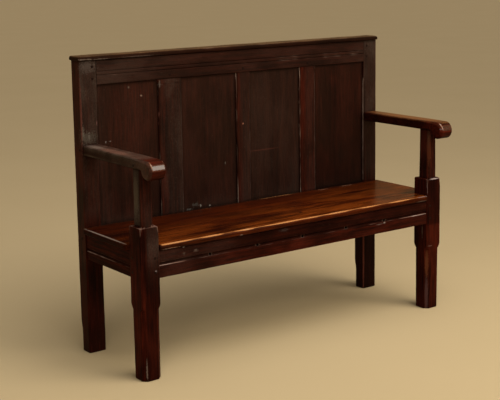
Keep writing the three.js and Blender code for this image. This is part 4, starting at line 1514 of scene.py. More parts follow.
@dataclass
class Muntin:
    """An upright between two panels, chamfered in front. The left chamfer widens at the top."""

    plan: Plan
    number: int
    width: float
    dust: float
    red: float
    left_rub_and_highlight: float
    right_rub: float
    cut: float = 4 * MM
    flare: float = 8 * MM
    flare_run: float = 46 * MM
    stop_drop: float = 30 * MM
    stop_run: float = 14 * MM
    web: float = 20 * MM
    web_steps: int = 12
    head_wear: float = 80 * MM
    foot_wear: float = 110 * MM

    @property
    def node(self) -> str:
        """Returns the name of its frame node."""
        return f"muntin_{self.number}"

    @property
    def left(self) -> float:
        """Returns the place of its left side."""
        return high(self.node).x - self.width

    def wide(self, drop: float) -> float:
        """Returns the left cut at a distance below the top rail."""
        return self.cut + (self.flare - self.cut) * (1 - drop / self.flare_run) ** 2

    def section(self, z: float, left: float, right: float, reach: float = 0.0) -> Station:
        """Draws a section.

        Args:
            z: the height.
            left: the cut at its front left corner.
            right: the cut at its front right corner.
            reach: how far the part before the panel stands out to the left.

        Returns:
            The section.
        """
        plan = self.plan
        x0, x1 = self.left, high(self.node).x
        cuts = [left, right, plan.arris, plan.arris]
        corners = cut_corners(x0, x1, plan.post_face, plan.frame_back, cuts, 0.8 * MM)
        right_groove = groove_corners(x1, -plan.groove_depth, plan)
        left_groove = groove_corners(x0, plan.groove_depth, plan)[::-1]
        for row, i in ((corners, 0), (corners, 7), (left_groove, 3)):
            row[i] = replace(row[i], across=row[i].across - reach)
        return Station(z, corners[:3] + right_groove + corners[3:7] + left_groove + corners[7:])

    def stations(self) -> list[Station]:
        """Works out the sections from the seat to the top rail.

        Returns:
            The sections, rising.
        """
        plan = self.plan
        top = plan.top_rail_under
        made = [
            self.section(plan.seat_under + plan.fit, self.cut, self.cut),
            self.section(top - self.flare_run, self.cut, self.cut),
            self.section(top - self.stop_drop, self.wide(self.stop_drop), self.cut),
            self.section(
                top - self.stop_drop + self.stop_run, self.wide(self.stop_drop - self.stop_run), plan.arris
            ),
        ]
        if self.number > 1:
            return made + [self.section(top - plan.fit, self.flare, plan.arris)]
        return made + self.web_stations()

    def web_stations(self) -> list[Station]:
        """Works out the hollow-cut corner left on the first muntin under the top rail.

        Returns:
            The sections, rising.
        """
        made = []
        for angle in quarter_turn(self.web_steps)[1:]:
            up = self.web * math.sin(angle)
            reach = self.web - math.sqrt(self.web**2 - min(up, self.web) ** 2)
            drop = max(self.web - up, self.plan.fit)
            height = self.plan.top_rail_under - drop
            made.append(self.section(height, self.wide(drop), self.plan.arris, reach))
        return made

    def tone(self, at: Spots) -> Tone:
        """Returns the tone, reddest at its left side."""
        left = unit(1.3 - (at.x - self.left) / (0.35 * self.width))
        return Tone(self.dust - 0.3 * left, self.red + 0.65 * left)

    def rub(self, at: Spots) -> Amount:
        """Rubs the chamfers, the left one palest at its ends. The left chamfer's pale line is partly painted
        highlight.

        Args:
            at: the muntin's points.

        Returns:
            How rubbed each is.
        """
        plan = self.plan
        ahead = at.ny < -0.15
        left = unit(1.4 - (at.x - self.left) / (2.5 * MM)) * ahead
        head = unit(1 - (plan.top_rail_under - at.z) / self.head_wear) * (self.number > 1)
        foot = unit(1 - (at.z - plan.seat_top) / self.foot_wear)
        right = self.right_rub
        if self.number == 1:
            right = right + 0.9 * unit(1 - (at.z - plan.seat_top) / (90 * MM)) + 0.7 * near(at.z, 0.86, 0.1)
        return 0.5 + left * (self.left_rub_and_highlight + 1.4 * head + 1.7 * foot) + (at.nx > 0.4) * ahead * right

    def grime(self, at: Spots) -> Amount:
        """Returns how dark it is against the rail and the seat: dirty wood and painted shade."""
        plan = self.plan
        return 0.55 * near(at.z, plan.seat_top, 10 * MM) + 0.4 * near(at.z, plan.top_rail_under, 5 * MM)

    def build(self) -> None:
        """Builds the muntin."""
        skin = Skin.through(Axis.Z, self.stations(), step=10 * MM, spacing=9 * MM)
        seed, ageing, looks = 40 + self.number, Ageing(chips=12), (self.tone, self.grime, self.rub)
        Timber(self.node, "oak_upright", skin, Finish.FRAME, seed, ageing, *looks).make()


@dataclass
class Panel:
    """A flat board of the back, feathered behind to enter the grooves."""

    plan: Plan
    number: int
    dust: float
    red: float
    shade: float
    thickness: float = 12 * MM
    bevel: float = 28 * MM
    border: float = 10 * MM
    groove_dirt_and_shade: float = 7 * MM
    seat_dust: float = 60 * MM
    side_dust: float = 70 * MM

    @property
    def node(self) -> str:
        """Returns the name of its frame node."""
        return f"back_panel_{self.number}"

    def section(self, z: float, back: float) -> Station:
        """Draws a section.

        Args:
            z: its height.
            back: how far back the raised field reaches.

        Returns:
            The section.
        """
        (x0, y0, _), (x1, _, _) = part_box(self.node)
        tongue, border = self.tongue, self.border
        bevel = border + (self.bevel - border) * (back - tongue) / (self.thickness - tongue)
        spots = [
            (x0, y0), (x1, y0), (x1, y0 + tongue), (x1 - border, y0 + tongue), (x1 - bevel, y0 + back),
            (x0 + bevel, y0 + back), (x0 + border, y0 + tongue), (x0, y0 + tongue),
        ]
        return Station(z, [Corner(x, y, 0.3 * MM) for x, y in spots])

    @property
    def tongue(self) -> float:
        """Returns the thickness of the edge in the groove."""
        return self.plan.groove_width - 2 * self.plan.fit

    def tone(self, at: Spots) -> Tone:
        """Colours the panel. The first one is dusty down its left side.

        Args:
            at: the panel's points.

        Returns:
            Their tone.
        """
        dust = self.dust + 0.2 * near(at.z, self.plan.seat_top, self.seat_dust)
        dust = dust + 0.35 * (self.number == 1) * near(at.x, low(self.node).x, self.side_dust)
        return Tone(dust, self.red * (0.7 + 0.3 * rise(at.z, 0.44, 0.48)))

    def grime(self, at: Spots) -> Amount:
        """Darkens the panel along the grooves, most above the seat and under the top rail: dirty wood and
        painted shade.

        Args:
            at: the panel's points.

        Returns:
            How dirty each is.
        """
        plan, inset = self.plan, self.groove_dirt_and_shade
        sides = near(at.x, low(self.node).x + inset, 6 * MM) + near(at.x, high(self.node).x - inset, 6 * MM)
        # A painted shadow under the top rail, and painted shade where the panel meets the seat.
        ends = 1.8 * near(at.z, plan.top_rail_under, 10 * MM) + near(at.z, plan.seat_top, 16 * MM)
        shade = self.shade * np.clip((0.95 - at.z) / 0.35, 0.3, 1)
        return 0.75 * np.maximum(sides, ends) + shade

    def build(self) -> None:
        """Builds the panel."""
        z0, z1 = low(self.node).z, high(self.node).z
        stations = [
            self.section(z0, self.tongue),
            self.section(z0 + self.border, self.tongue),
            self.section(z0 + self.bevel, self.thickness),
            self.section(z1 - self.bevel, self.thickness),
            self.section(z1 - self.border, self.tongue),
            self.section(z1, self.tongue),
        ]
        skin = Skin.through(Axis.Z, stations, step=12 * MM, spacing=12 * MM)
        skin.wear[:] = 0.0
        seed, ageing = 50 + self.number, Ageing(wave=1.1 * MM, wave_length=330 * MM, rub=0.0, chips=0)
        Timber(self.node, "oak_panel", skin, Finish.PANEL, seed, ageing, self.tone, self.grime).make()


@dataclass
class Cap:
    """The cap board, with rounded edges."""

    top_round: float = 7 * MM
    under_round: float = 4 * MM

    def stations(self) -> list[Station]:
        """Works out the sections from the left end to the right.

        Returns:
            The sections.
        """
        (x0, y0, z0), (_, y1, z1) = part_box("cap_board")
        top, under = self.top_round, self.under_round
        made = []
        for angle in quarter_turn(ROUND_STEPS):
            drop = top * (1 - math.cos(angle))
            sink = top - math.sqrt(max(0.0, top**2 - (top - drop) ** 2))
            lift = under - math.sqrt(max(0.0, under**2 - max(0.0, under - drop) ** 2))
            face = y0 + 0.35 * sink
            corners = [
                Corner(face, z0 + lift, under), Corner(y1, z0 + lift), Corner(y1, z1 - sink, 1.5 * MM),
                Corner(face, z1 - sink, top),
            ]
            made.append(Station(x0 + drop, corners))
        return made + far_half(made)

    @staticmethod
    def tone(at: Spots) -> Tone:
        """Returns the tone, whose top has faded."""
        up = unit(at.nz * 2.5 - 1.3)
        return Tone(Rails.tone(at).dust * 0.3 * (1 - up) + 0.95 * up, 0.3)

    @staticmethod
    def grime(at: Spots) -> Amount:
        """Returns how dark the cap is at its edge and underside: dirty wood and painted shade."""
        return 0.6 * unit(1.2 - 1.5 * at.nz)

    @staticmethod
    def rub(at: Spots) -> Amount:
        """Returns how rubbed the cap is: a little, along its upper edge."""
        return 0.1 + 0.45 * unit(at.nz)

    def build(self) -> None:
        """Builds the cap board."""
        skin = Skin.through(Axis.X, self.stations(), step=12 * MM, spacing=8 * MM)
        ageing = Ageing(chips=30, chip_depth=1.6 * MM)
        looks = (self.tone, self.grime, self.rub)
        Timber("cap_board", "oak_rail", skin, Finish.CAP, 61, ageing, *looks).make()


@dataclass
class BackFrame:
    """Rails, muntins, panels and cap of the back."""

    plan: Plan

    def build(self) -> None:
        """Builds the whole back frame, with the muntins and panels from left to right."""
        Rails(self.plan).build()
        for muntin in (
            Muntin(self.plan, 1, 94 * MM, dust=0.55, red=0.35, left_rub_and_highlight=0.5, right_rub=0.5),
            Muntin(self.plan, 2, 60 * MM, dust=0.4, red=0.35, left_rub_and_highlight=0.9, right_rub=0.9),
            Muntin(self.plan, 3, 74 * MM, dust=0.2, red=0.62, left_rub_and_highlight=1.4, right_rub=1.6),
        ):
            muntin.build()
        for panel in (
            Panel(self.plan, 1, dust=0.14, red=0.48, shade=0.0),
            Panel(self.plan, 2, dust=0.16, red=0.34, shade=0.12),
            Panel(self.plan, 3, dust=0.24, red=0.12, shade=0.0),
            Panel(self.plan, 4, dust=0.02, red=0.45, shade=0.5),
        ):
            panel.build()
        Cap().build()


@dataclass
class ChannelRail:
    """The section of a seat rail with a channel along its face, and how the channel has worn."""

    plan: Plan
    thickness: float
    lip_up: float
    channel: float = 10 * MM
    depth: float = 4 * MM
    soft: float = 2 * MM

    @property
    def lip(self) -> float:
        """Returns the height of the channel's lower lip."""
        return self.plan.rail_under + self.lip_up

    def section(self, face: float, inward: int) -> list[Corner]:
        """Draws the section.

        Args:
            face: the place of the rail's face.
            inward: 1 or -1, the way from the face into the rail.

        Returns:
            Its corners.
        """
        z0, z1, arris = self.plan.rail_under, self.plan.seat_under - self.plan.fit, self.plan.arris
        thick, deep, lip, upper = self.thickness, self.depth, self.lip, self.lip + self.channel
        profile = [
            (arris, z0, 0.8), (thick - arris, z0, 0.8), (thick, z0 + arris, 0.8), (thick, z1, 0.3),
            (0.0, z1, 0.5), (0.0, upper, 1.2), (deep, upper - self.soft, 1.0), (deep, lip + self.soft, 1.0),
            (self.soft, lip, 0.8), (0.0, lip - self.soft, 1.0), (0.0, z0 + arris, 0.8),
        ]
        return [Corner(face + inward * depth, z, rounding * MM) for depth, z, rounding in profile]

    def wear(self, at: Spots) -> Amount:
        """Wears the channel's lower lip, on the outer face only, and paints a pale highlight line along it.

        Args:
            at: the rail's points.

        Returns:
            How exposed each is.
        """
        ahead = at.y < low("front_seat_rail").y + 3 * MM
        aside = np.abs(at.x) > high("side_rail_right").x - 3 * MM
        return 0.85 * near(at.z, self.lip - 0.5 * MM, 3 * MM) * (ahead | aside)

    def grime(self, at: Spots) -> Amount:
        """Returns how dark the rail is in the channel and under the seat: painted shadow and dirty wood."""
        in_channel = near(at.z, self.lip + self.channel * 0.62, 6 * MM)
        return 0.85 * in_channel + 0.8 * near(at.z, self.plan.seat_under, 9 * MM)

    def rub(self, at: Spots) -> Amount:
        """Rubs the channel's lower lip, whose pale line is partly painted highlight. On the front rail it is
        rubbed most toward its ends.

        Args:
            at: the rail's points.

        Returns:
            How rubbed each is.
        """
        ends = unit(np.where(at.x < 0, -at.x - 0.47, at.x - 0.44) / 0.1)
        beside = np.abs(at.x) > self.plan.leg_inner
        amount = np.where(beside, 0.9 + 1.4 * unit(at.y / 0.12), 0.6 + 1.6 * ends)
        return 0.5 + amount * near(at.z, self.lip, 5 * MM)


@dataclass
class SeatRails:
    """Front rail with its channel and bored holes, side rails, and the batten behind."""

    plan: Plan
    hole_radius: float = 5.5 * MM
    hole_sides: int = 20
    hole_shares: tuple[float, ...] = (-0.332, -0.168, -0.003, 0.165, 0.32)
    overrun: float = 10 * MM
    rim: float = 7 * MM

    def __post_init__(self) -> None:
        """Sets out the two kinds of rail."""
        self.front = ChannelRail(self.plan, thickness=30 * MM, lip_up=41 * MM)
        self.side = ChannelRail(self.plan, thickness=28 * MM, lip_up=30 * MM)

    def front_tone(self, at: Spots) -> Tone:
        """Colours the front rail, which is redder below the channel.

        Args:
            at: the rail's points.

        Returns:
            Their tone.
        """
        below = at.z < self.front.lip
        dust = 0.04 + 0.18 * unit((-at.x - 0.2) / 0.3) * np.where(below, 0.5, 1.0)
        lower_red = 0.45 + 0.5 * rise(at.x, -0.5, 0.4) - 0.3 * rise(at.x, 0.2, 0.3)
        return Tone(dust, np.where(below, lower_red, 0.3))

    def build_front(self) -> None:
        """Builds the front rail and bores its holes."""
        plan, rail = self.plan, self.front
        face = low("front_seat_rail").y
        end = plan.leg_inner - plan.fit
        skin = Skin.straight(Axis.X, rail.section(face, 1), -end, end, step=9 * MM, spacing=8 * MM)
        looks = (self.front_tone, rail.grime, rail.rub)
        piece = Timber(
            "front_seat_rail", "oak_rail", skin.rubbed(rail.wear), Finish.POST, 71, Ageing(chips=26), *looks
        ).make()
        for share in self.hole_shares:
            bore(piece, self.drill(2 * plan.leg_inner * share, face, rail.lip + rail.channel / 2))

    def drill(self, x: float, face: float, height: float) -> bpy.types.Object:
        """Makes a rod that cuts one hole, with a painted highlight at one side of its mouth and painted shade
        inside.

        Args:
            x: the hole's place along the rail.
            face: the rail's face.
            height: the hole's height.

        Returns:
            The rod.
        """
        sides, radius = self.hole_sides, self.hole_radius
        depths = (-self.overrun, 0.0, self.rim, self.front.thickness + self.overrun)
        angles = [2 * math.pi * i / sides for i in range(sides)]
        points = [
            (x + radius * math.cos(angle), face + depth, height + radius * math.sin(angle))
            for depth in depths for angle in angles
        ]
        last = sides * (len(depths) - 1)
        faces = [list(range(sides)), list(range(last, last + sides))[::-1]]
        for start in range(0, last, sides):
            faces += [
                [start + i, start + i + sides, start + (i + 1) % sides + sides, start + (i + 1) % sides]
                for i in range(sides)
            ]
        mesh = bpy.data.meshes.new("drill")
        mesh.from_pydata(points, [], faces)
        spots = np.array(points)
        # A painted highlight on the hole's right rim; the rest of the hole gets painted shade.
        pale = np.clip((spots[:, 0] - x) / radius - 0.3, 0, 0.6) / 0.6 * (spots[:, 1] < face + 5 * MM)
        Attribute.GRAIN.keep(mesh, spots)
        Attribute.WEAR.keep(mesh, 1.5 * pale)
        Attribute.GRIME.keep(mesh, 1 - pale)
        Attribute.TONE.keep(mesh, Tone(0.0, 0.0).rows(len(spots)))
        cleaned(mesh, seam=0.0)
        return put_in_scene("drill", mesh)

    def build_sides(self) -> None:
        """Builds both side rails."""
        plan, rail = self.plan, self.side
        start, end = plan.leg_back + plan.fit, plan.post_face - plan.fit
        corners = rail.section(high("side_rail_right").x, -1)
        skin = Skin.straight(Axis.Y, corners, start, end, step=9 * MM, spacing=8 * MM).rubbed(rail.wear)
        looks = (lambda at: Tone(0.02, 0.8), rail.grime, rail.rub)
        Timber("side_rail", "oak_side_rail", skin, Finish.POST, 81, Ageing(chips=8), *looks).make_pair()

    def build_batten(self) -> None:
        """Builds the batten under the back edge of the seat."""
        (x0, y0, z0), (x1, y1, z1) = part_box("seat_batten")
        corners = [Corner(y, z, 1.2 * MM) for y, z in ((y0, z0), (y1, z0), (y1, z1), (y0, z1))]
        skin = Skin.straight(Axis.X, corners, x0, x1, step=20 * MM, spacing=8 * MM, soft=0.8 * MM)
        Timber("seat_batten", "oak_hidden", skin, Finish.HIDDEN, 91).make()

    def build(self) -> None:
        """Builds all the seat's rails."""
        self.build_front()
        self.build_sides()
        self.build_batten()


@dataclass
class Seat:
    """The seat board, nosed at the front and ends."""

    plan: Plan
    top_round: float = 9 * MM
    under_round: float = 5 * MM
    front_corner: float = 22 * MM
    back_corner: float = 9 * MM
    corner_steps: int = 12

    @staticmethod
    def fall(radius: float, inset: float) -> float:
        """Returns how far a rounded edge has come in at a distance from its end."""
        return radius - math.sqrt(radius**2 - (radius - inset) ** 2) if inset < radius else 0.0

    def section(self, x: float, front: float, inset: float) -> Station:
        """Draws a section.

        Args:
            x: its place.
            front: where the board's front lies there.
            inset: the distance from the end, where the edge is rounded.

        Returns:
            The section.
        """
        (_, _, z0), (_, y1, z1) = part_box("seat_board")
        behind = self.plan.leg_back + self.plan.fit
        start = behind + self.fall(self.front_corner, inset)
        back = y1 - self.fall(self.back_corner, inset)
        top, under = z1 - self.fall(self.top_round, inset), z0 + self.fall(self.under_round, inset)
        nosed = front < behind
        edge = front if nosed else start
        return Station(x, [
            Corner(edge, under, self.under_round if nosed else 0.4 * MM), Corner(start, under, 0.0),
            Corner(back, under, 0.4 * MM), Corner(back, top),
            Corner(start, top, 0.0), Corner(edge, top, self.top_round if nosed else 0.4 * MM),
        ])

    def stations(self) -> list[Station]:
        """Works out the sections from the left end to the right.

        Returns:
            The sections.
        """
        x0, front = low("seat_board").x, low("seat_board").y
        behind, side = self.plan.leg_back + self.plan.fit, self.plan.leg_inner - self.plan.fit
        far = self.front_corner * 2
        ends = []
        for angle in quarter_turn(self.corner_steps):
            inset = self.front_corner * (1 - math.cos(angle))
            ends.append(self.section(x0 + inset, behind, max(inset, 0.05 * MM)))
        ends.append(self.section(-side - 0.02 * MM, behind, far))
        middle = [self.section(-side, front, far), self.section(side, front, far)]
        return ends + middle + far_half(ends)

    def tone(self, at: Spots) -> Tone:
        """Colours the seat, which is brightest along its front.

        Args:
            at: the seat's points.

        Returns:
            Their tone.
        """
        front, back = low("seat_board").y, high("seat_board").y
        depth = (at.y - front) / (back - front)
        right = rise(at.x, -0.2, 0.8)
        nose = unit(-at.ny * 1.5 - 0.3)
        ends = unit(np.abs(at.nx) * 1.4 - 0.3)
        under = unit(-at.nz * 2)
        # Redder and brighter toward the right: partly the board's own colour and partly painted light.
        red = np.clip(1.05 - 1.5 * depth + 0.7 * right, 0.06, 1) * (1 - 0.8 * nose)
        red = red * (1 - 0.9 * np.maximum(ends, under))
        polish = unit(0.9 - 0.5 * depth) * (1 - ends) * (1 - 0.3 * right)
        return Tone(0.1 * near(depth, 1.0, 0.12), red, polish)

    def rub(self, at: Spots) -> Amount:
        """Rubs the seat's nosing, and less so its ends. The golden line along the nosing and the pale lines
        on its arrises are partly painted highlight.

        Args:
            at: the seat's points.

        Returns:
            How rubbed each is.
        """
        up = unit(at.nz)
        line = rise(up, 0.5, 0.3) * np.clip((1 - up) / 0.02, 0.3, 1)
        side = unit(np.abs(at.nx) * 1.4 - 0.2)
        ends = self.end_arris_wear_and_highlight(at)
        lower = 0.75 * near(at.z, self.plan.seat_under + 4 * MM, 3 * MM) * (at.y < self.plan.front)
        # The golden nosing line: wear and painted highlight.
        gold = 1.3 - 0.8 * rise(at.x, 0.5, 0.07) - 0.7 * near(at.x, -0.6, 0.08)
        return (0.1 + lower + gold * line) * (1 - 0.8 * side) * (1 - ends) + 0.5 * ends

    def end_arris_wear_and_highlight(self, at: Spots) -> Amount:
        """Returns 1 along the upper arris of the ends, falling to 0 beside it: wear and a painted highlight
        line.
        """
        tip = high("seat_board").x - 3 * MM
        return near(np.abs(at.x), tip, 3.5 * MM) * rise(at.z, self.plan.seat_top - 6 * MM, 2 * MM)

    def grime(self, at: Spots) -> Amount:
        """Darkens the seat along its back, round the front posts, underneath and under the nosing, with dirty
        wood and painted shade, and darkens its end grain.

        Args:
            at: the seat's points.

        Returns:
            How dirty each is.
        """
        plan = self.plan
        back = near(at.y, plan.post_face, 24 * MM)
        block = near(at.y, plan.leg_back, 12 * MM) * (np.abs(at.x) > plan.leg_inner)
        under = unit(-at.nz)
        end = unit(np.abs(at.nx) * 2 - 0.8)
        nose = unit(-at.ny - 0.5) * (at.y < plan.front) * (at.z < plan.seat_top - 9 * MM)
        dirt_and_shade = 0.6 * back + 0.3 * block + 0.5 * under + 0.6 * end + 0.5 * nose
        return dirt_and_shade * (1 - self.end_arris_wear_and_highlight(at))

    def build(self) -> None:
        """Builds the seat board."""
        skin = Skin.through(Axis.X, self.stations(), step=12 * MM, spacing=9 * MM).rubbed(self.end_arris_wear_and_highlight)
        ageing = Ageing(wave=0.9 * MM, wave_length=420 * MM, rub=0.7 * MM, rub_length=90 * MM, chips=5)
        looks = (self.tone, self.grime, self.rub)
        Timber("seat_board", "oak_seat", skin, Finish.SEAT, 101, ageing, *looks).make()


@dataclass
class Arm:
    """An arm whose front end is cut to a roll."""

    plan: Plan
    thickness: float = 33 * MM
    radius: float = 31 * MM
    edge: float = 3 * MM
    roll_edge: float = 8 * MM
    edge_run: float = 80 * MM
    side_inset: float = 2.5 * MM
    straight_steps: int = 38
    roll_steps: int = 44
    end_steps: int = 6
    exposure: float = 0.2
    cut_shares: tuple[float, ...] = (0.0, 0.06, 0.3, 0.6, 0.9, 1.0)

    def width(self, distance: float) -> float:
        """Returns how wide the arm's edge is cut at a distance behind the roll."""
        return self.roll_edge + (self.edge - self.roll_edge) * min(1.0, max(0.0, distance / self.edge_run))

    def outline(self) -> tuple[np.ndarray, np.ndarray, np.ndarray]:
        """Draws the arm's side view.

        Returns:
            Points as (y, z), the outward direction of each, and how wide its edge is cut.
        """
        y0, z1 = low("arm_right").y, high("arm_right").z
        back = self.plan.post_face - self.plan.fit
        centre_y, centre_z = y0 + self.radius, z1 - self.radius
        under = z1 - self.thickness
        join = math.asin((under - centre_z) / self.radius)
        rows = []
        for i in range(self.straight_steps):
            y = back + (centre_y - back) * i / self.straight_steps
            rows.append((y, z1, 0.0, 1.0, self.width(y - centre_y)))
        for i in range(self.roll_steps + 1):
            angle = QUARTER + (3 * QUARTER + join) * i / self.roll_steps
            out_y, out_z = math.cos(angle), math.sin(angle)
            spot = (centre_y + self.radius * out_y, centre_z + self.radius * out_z)
            rows.append((*spot, out_y, out_z, self.roll_edge))
        start = centre_y + self.radius * math.cos(join)
        for i in range(1, self.straight_steps + 1):
            y = start + (back - start) * i / self.straight_steps
            rows.append((y, under, 0.0, -1.0, self.width(y - centre_y)))
        rows += [(back, z, 0.0, 0.0, 0.0) for z in np.linspace(under, z1, self.end_steps + 1)[1:-1]]
        table = np.array(rows)
        return table[:, :2], table[:, 2:4], table[:, 4]

    def skin(self) -> Skin:
        """Carries the right arm's outline across, drawn in at both sides.

        Returns:
            The right arm's skin.
        """
        spots, outs, cuts = self.outline()
        x0, x1 = low("arm_right").x, high("arm_right").x
        ahead = unit(-1.5 * outs[:, 0]) * rise(outs[:, 1], 0.05, 0.35)

        def side(share: float, x: np.ndarray, inset: float = 0.0) -> tuple[np.ndarray, np.ndarray]:
            """Draws a ring part of the way up a cut edge.

            Args:
                share: how far up the edge it lies, from 0 at the arm's side to 1.
                x: its places across the bench.
                inset: how far it is drawn in.

            Returns:
                Its points, and how exposed to wear each is.
            """
            soft = share + 0.06 * math.sin(math.pi * share)
            flat = spots - outs * (cuts * (1 - soft) + inset)[:, None]
            # Pale arcs along the front of the rolls' cut edges: wear and painted highlight.
            wear = self.exposure + 0.6 * ahead * unit(4 * share - 3)
            return np.column_stack([x, flat]), wear

        left = [side(0.0, x0 + cuts * 0.0, self.side_inset)]
        left += [side(share, x0 + cuts * share) for share in self.cut_shares]
        right = [side(share, x1 - cuts * share) for share in self.cut_shares[::-1]]
        right += [side(0.0, x1 - cuts * 0.0, self.side_inset)]
        middle = []
        for share in (0.05, *np.linspace(0.12, 0.88, 7), 0.95):
            x = (x0 + cuts) * (1 - share) + (x1 - cuts) * share
            middle.append((np.column_stack([x, spots]), np.full(len(spots), self.exposure)))
        points, wear = zip(*left, *middle, *right)
        return Skin(np.array(points), np.array(wear), Axis.X)

    def tone(self, at: Spots) -> Tone:
        """Colours the arms. The left side is dusty, the top faded and the roll red.

        Args:
            at: the arm's points.

        Returns:
            Their tone.
        """
        left = at.x < 0
        up = unit(at.nz)
        outside = unit(-at.nx * 1.5 - 0.3) * left
        roll = unit((self.plan.front + 34 * MM - at.y) / (60 * MM))
        dust = 0.7 * outside + np.where(left, 0.8, 0.1) * up * (1 - roll)
        red = 0.25 + 0.5 * up + 0.9 * roll - 0.3 * outside
        band = unit(at.nz / 0.1) * unit((0.74 - at.nz) / 0.14) * (at.ny < 0)
        return Tone(dust, red, band * roll * unit(1.3 - np.abs(at.nx) * 1.6))

    def rub(self, at: Spots) -> Amount:
        """Rubs the arms, most round the rolls and over the top. The pale lines on the rolls' edges are partly
        painted highlight.

        Args:
            at: the arm's points.

        Returns:
            How rubbed each is.
        """
        roll = unit((self.plan.front + 20 * MM - at.y) / (50 * MM))
        upper = rise(at.z, self.plan.arm_top - 8 * MM, 4 * MM)
        return 0.8 + 0.7 * upper * (1 - roll) + 0.8 * roll

    def grime(self, at: Spots) -> Amount:
        """Returns how dark the arms are where they meet the posts and the supports, and underneath: dirty
        wood and painted shade.
        """
        return 0.6 * near(at.y, self.plan.post_face, 10 * MM) + 0.7 * unit(-at.nz)

    def build(self) -> None:
        """Builds both arms."""
        ageing = Ageing(wave=0.3 * MM, rub=0.5 * MM, chips=2, chip_depth=0.6 * MM, chip_length=4 * MM)
        looks = (self.tone, self.grime, self.rub)
        Timber("arm", "oak_arm", self.skin(), Finish.ARM, 111, ageing, *looks).make_pair()


@dataclass
class Pegs:
    """The drawbore pegs, kept as they are in the frame."""

    def build(self) -> None:
        """Dresses every peg."""
        material = PegEnd().build()
        for name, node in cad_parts.items():
            if "peg" in name:
                for holder in node.material_slots:
                    holder.material = material
                log.info("%s: dressed", name)


# Studio


@dataclass(frozen=True)
class Lamp:
    """A square soft lamp that faces the middle of the bench. Its power is in watts."""

    name: str
    place: Place
    size: float
    power: float
    colour: Colour = (1.0, 1.0, 1.0)
    mirrored: bool = True
    aim: Place = (0.0, 0.0, 0.45)

    def build(self) -> None:
        """Hangs the lamp."""
        data = bpy.data.lights.new(self.name, "AREA")
        data.size = self.size
        data.energy = self.power
        data.color = self.colour
        lamp = put_in_scene(self.name, data)
        lamp.location = self.place
        lamp.rotation_euler = (Vector(self.aim) - Vector(self.place)).to_track_quat("-Z", "Y").to_euler()
        lamp.visible_camera = False
        lamp.visible_glossy = self.mirrored


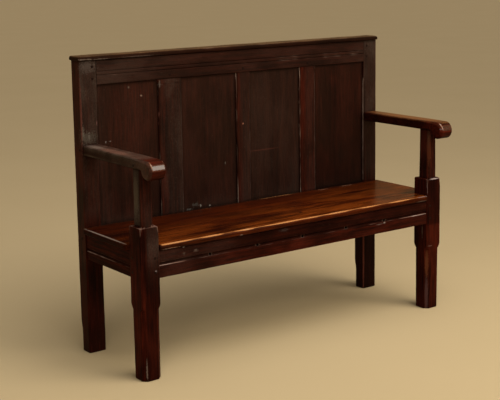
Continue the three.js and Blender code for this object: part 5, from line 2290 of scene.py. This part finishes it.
@dataclass
class Studio:
    """Floor, lamps, sky and camera."""

    photo_width: int = 500
    photo_height: int = 400
    sensor: float = 36.0
    focal_pixels: float = 1170.0
    centre_row: float = 150.0
    azimuth: float = -36.13
    elevation: float = 9.44
    roll: float = -0.90
    place: Place = (-2.465, -3.2395, 1.334)
    sky: Colour = (0.2, 0.188, 0.17)
    backdrop: Colour = (0.36, 0.24, 0.115)
    floor_dark: Colour = (0.55, 0.41, 0.222)
    floor_light: Colour = (0.58, 0.434, 0.238)
    floor_half: float = 200.0
    floor_scale: Place = (1.5, 1.5, 1.5)
    sun_towards: Place = (0.3, -1.0, 1.5)
    sun_power: float = 1.3
    sun_spread: float = math.radians(50)
    lamps: tuple[Lamp, ...] = (
        Lamp("overhead", (0.2, -0.7, 3.3), 2.8, 34.0, mirrored=False),
        Lamp("front_left", (-3.4, -3.4, 2.4), 1.4, 37.0, (1.0, 0.95, 0.84)),
        Lamp("front_right", (1.1, -2.5, 2.1), 2.4, 47.0, (1.0, 0.93, 0.8)),
    )

    def build_camera(self) -> None:
        """Builds the camera at the photograph's place."""
        data = bpy.data.cameras.new("camera")
        data.sensor_width = self.sensor
        data.lens = self.focal_pixels / self.photo_width * data.sensor_width
        data.shift_y = (self.centre_row - self.photo_height / 2) / self.photo_width
        azimuth, elevation, roll = (math.radians(v) for v in (self.azimuth, self.elevation, self.roll))
        out = math.cos(elevation)
        back = Vector((math.sin(azimuth) * out, -math.cos(azimuth) * out, math.sin(elevation)))
        level = Vector((math.cos(azimuth), math.sin(azimuth), 0.0))
        upright = back.cross(level)
        right = level * math.cos(roll) + upright * math.sin(roll)
        up = upright * math.cos(roll) - level * math.sin(roll)
        camera = put_in_scene("camera", data)
        camera.matrix_world = Matrix.Translation(self.place) @ Matrix((right, up, back)).transposed().to_4x4()
        bpy.context.scene.camera = camera

    def build_sun(self) -> None:
        """Builds a very soft distant lamp, which lights the floor evenly."""
        data = bpy.data.lights.new("distant", "SUN")
        data.angle = self.sun_spread
        data.energy = self.sun_power
        lamp = put_in_scene("distant", data)
        lamp.rotation_euler = Vector(self.sun_towards).to_track_quat("Z", "Y").to_euler()
        lamp.visible_glossy = False

    def build_floor(self) -> None:
        """Builds the pale floor."""
        half = self.floor_half
        mesh = bpy.data.meshes.new("floor")
        corners = [(-half, -half, 0), (half, -half, 0), (half, half, 0), (-half, half, 0)]
        mesh.from_pydata(corners, [], [(0, 1, 2, 3)])
        graph = Graph(bpy.data.materials.new("pale_floor"))
        place = graph.node("ShaderNodeTexCoord", {}, {}, "Object")
        patches = graph.noise(place, self.floor_scale, detail=2.0)
        colour = graph.mix(patches, self.floor_dark, self.floor_light)
        mesh.materials.append(graph.surface(Base_Color=colour, Roughness=0.9, Specular_IOR_Level=0.1))
        floor = put_in_scene("floor", mesh)

    def build_sky(self) -> None:
        """Builds the sky: dim light, and a plain warm backdrop for the camera and for reflections."""
        graph = Graph(bpy.data.worlds.new("sky"))
        path = graph.raw("ShaderNodeLightPath", {}, {})
        seen = Sock(graph, path.outputs["Is Camera Ray"]) + Sock(graph, path.outputs["Is Glossy Ray"])
        colour = graph.mix(seen, self.sky, self.backdrop)
        graph.raw("ShaderNodeOutputWorld", {}, {0: graph.node("ShaderNodeBackground", {}, {"Color": colour})})
        bpy.context.scene.world = graph.owner

    def build(self) -> None:
        """Builds the studio."""
        bpy.context.scene.view_settings.view_transform = "Standard"
        self.build_sky()
        self.build_floor()
        self.build_camera()
        self.build_sun()
        for lamp in self.lamps:
            lamp.build()


def main() -> None:
    """Builds the bench and its studio."""
    logging.basicConfig(level=logging.INFO, format="%(message)s", stream=sys.stdout)
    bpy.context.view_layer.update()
    plan = Plan()
    parts = (
        FrontPost(plan), RearPost(plan), BackFrame(plan), SeatRails(plan),
        Seat(plan), Arm(plan), Pegs(), Studio(),
    )
    for part in parts:
        part.build()
        log.info("%s is built", type(part).__name__)


if __name__ == "__main__":
    main()
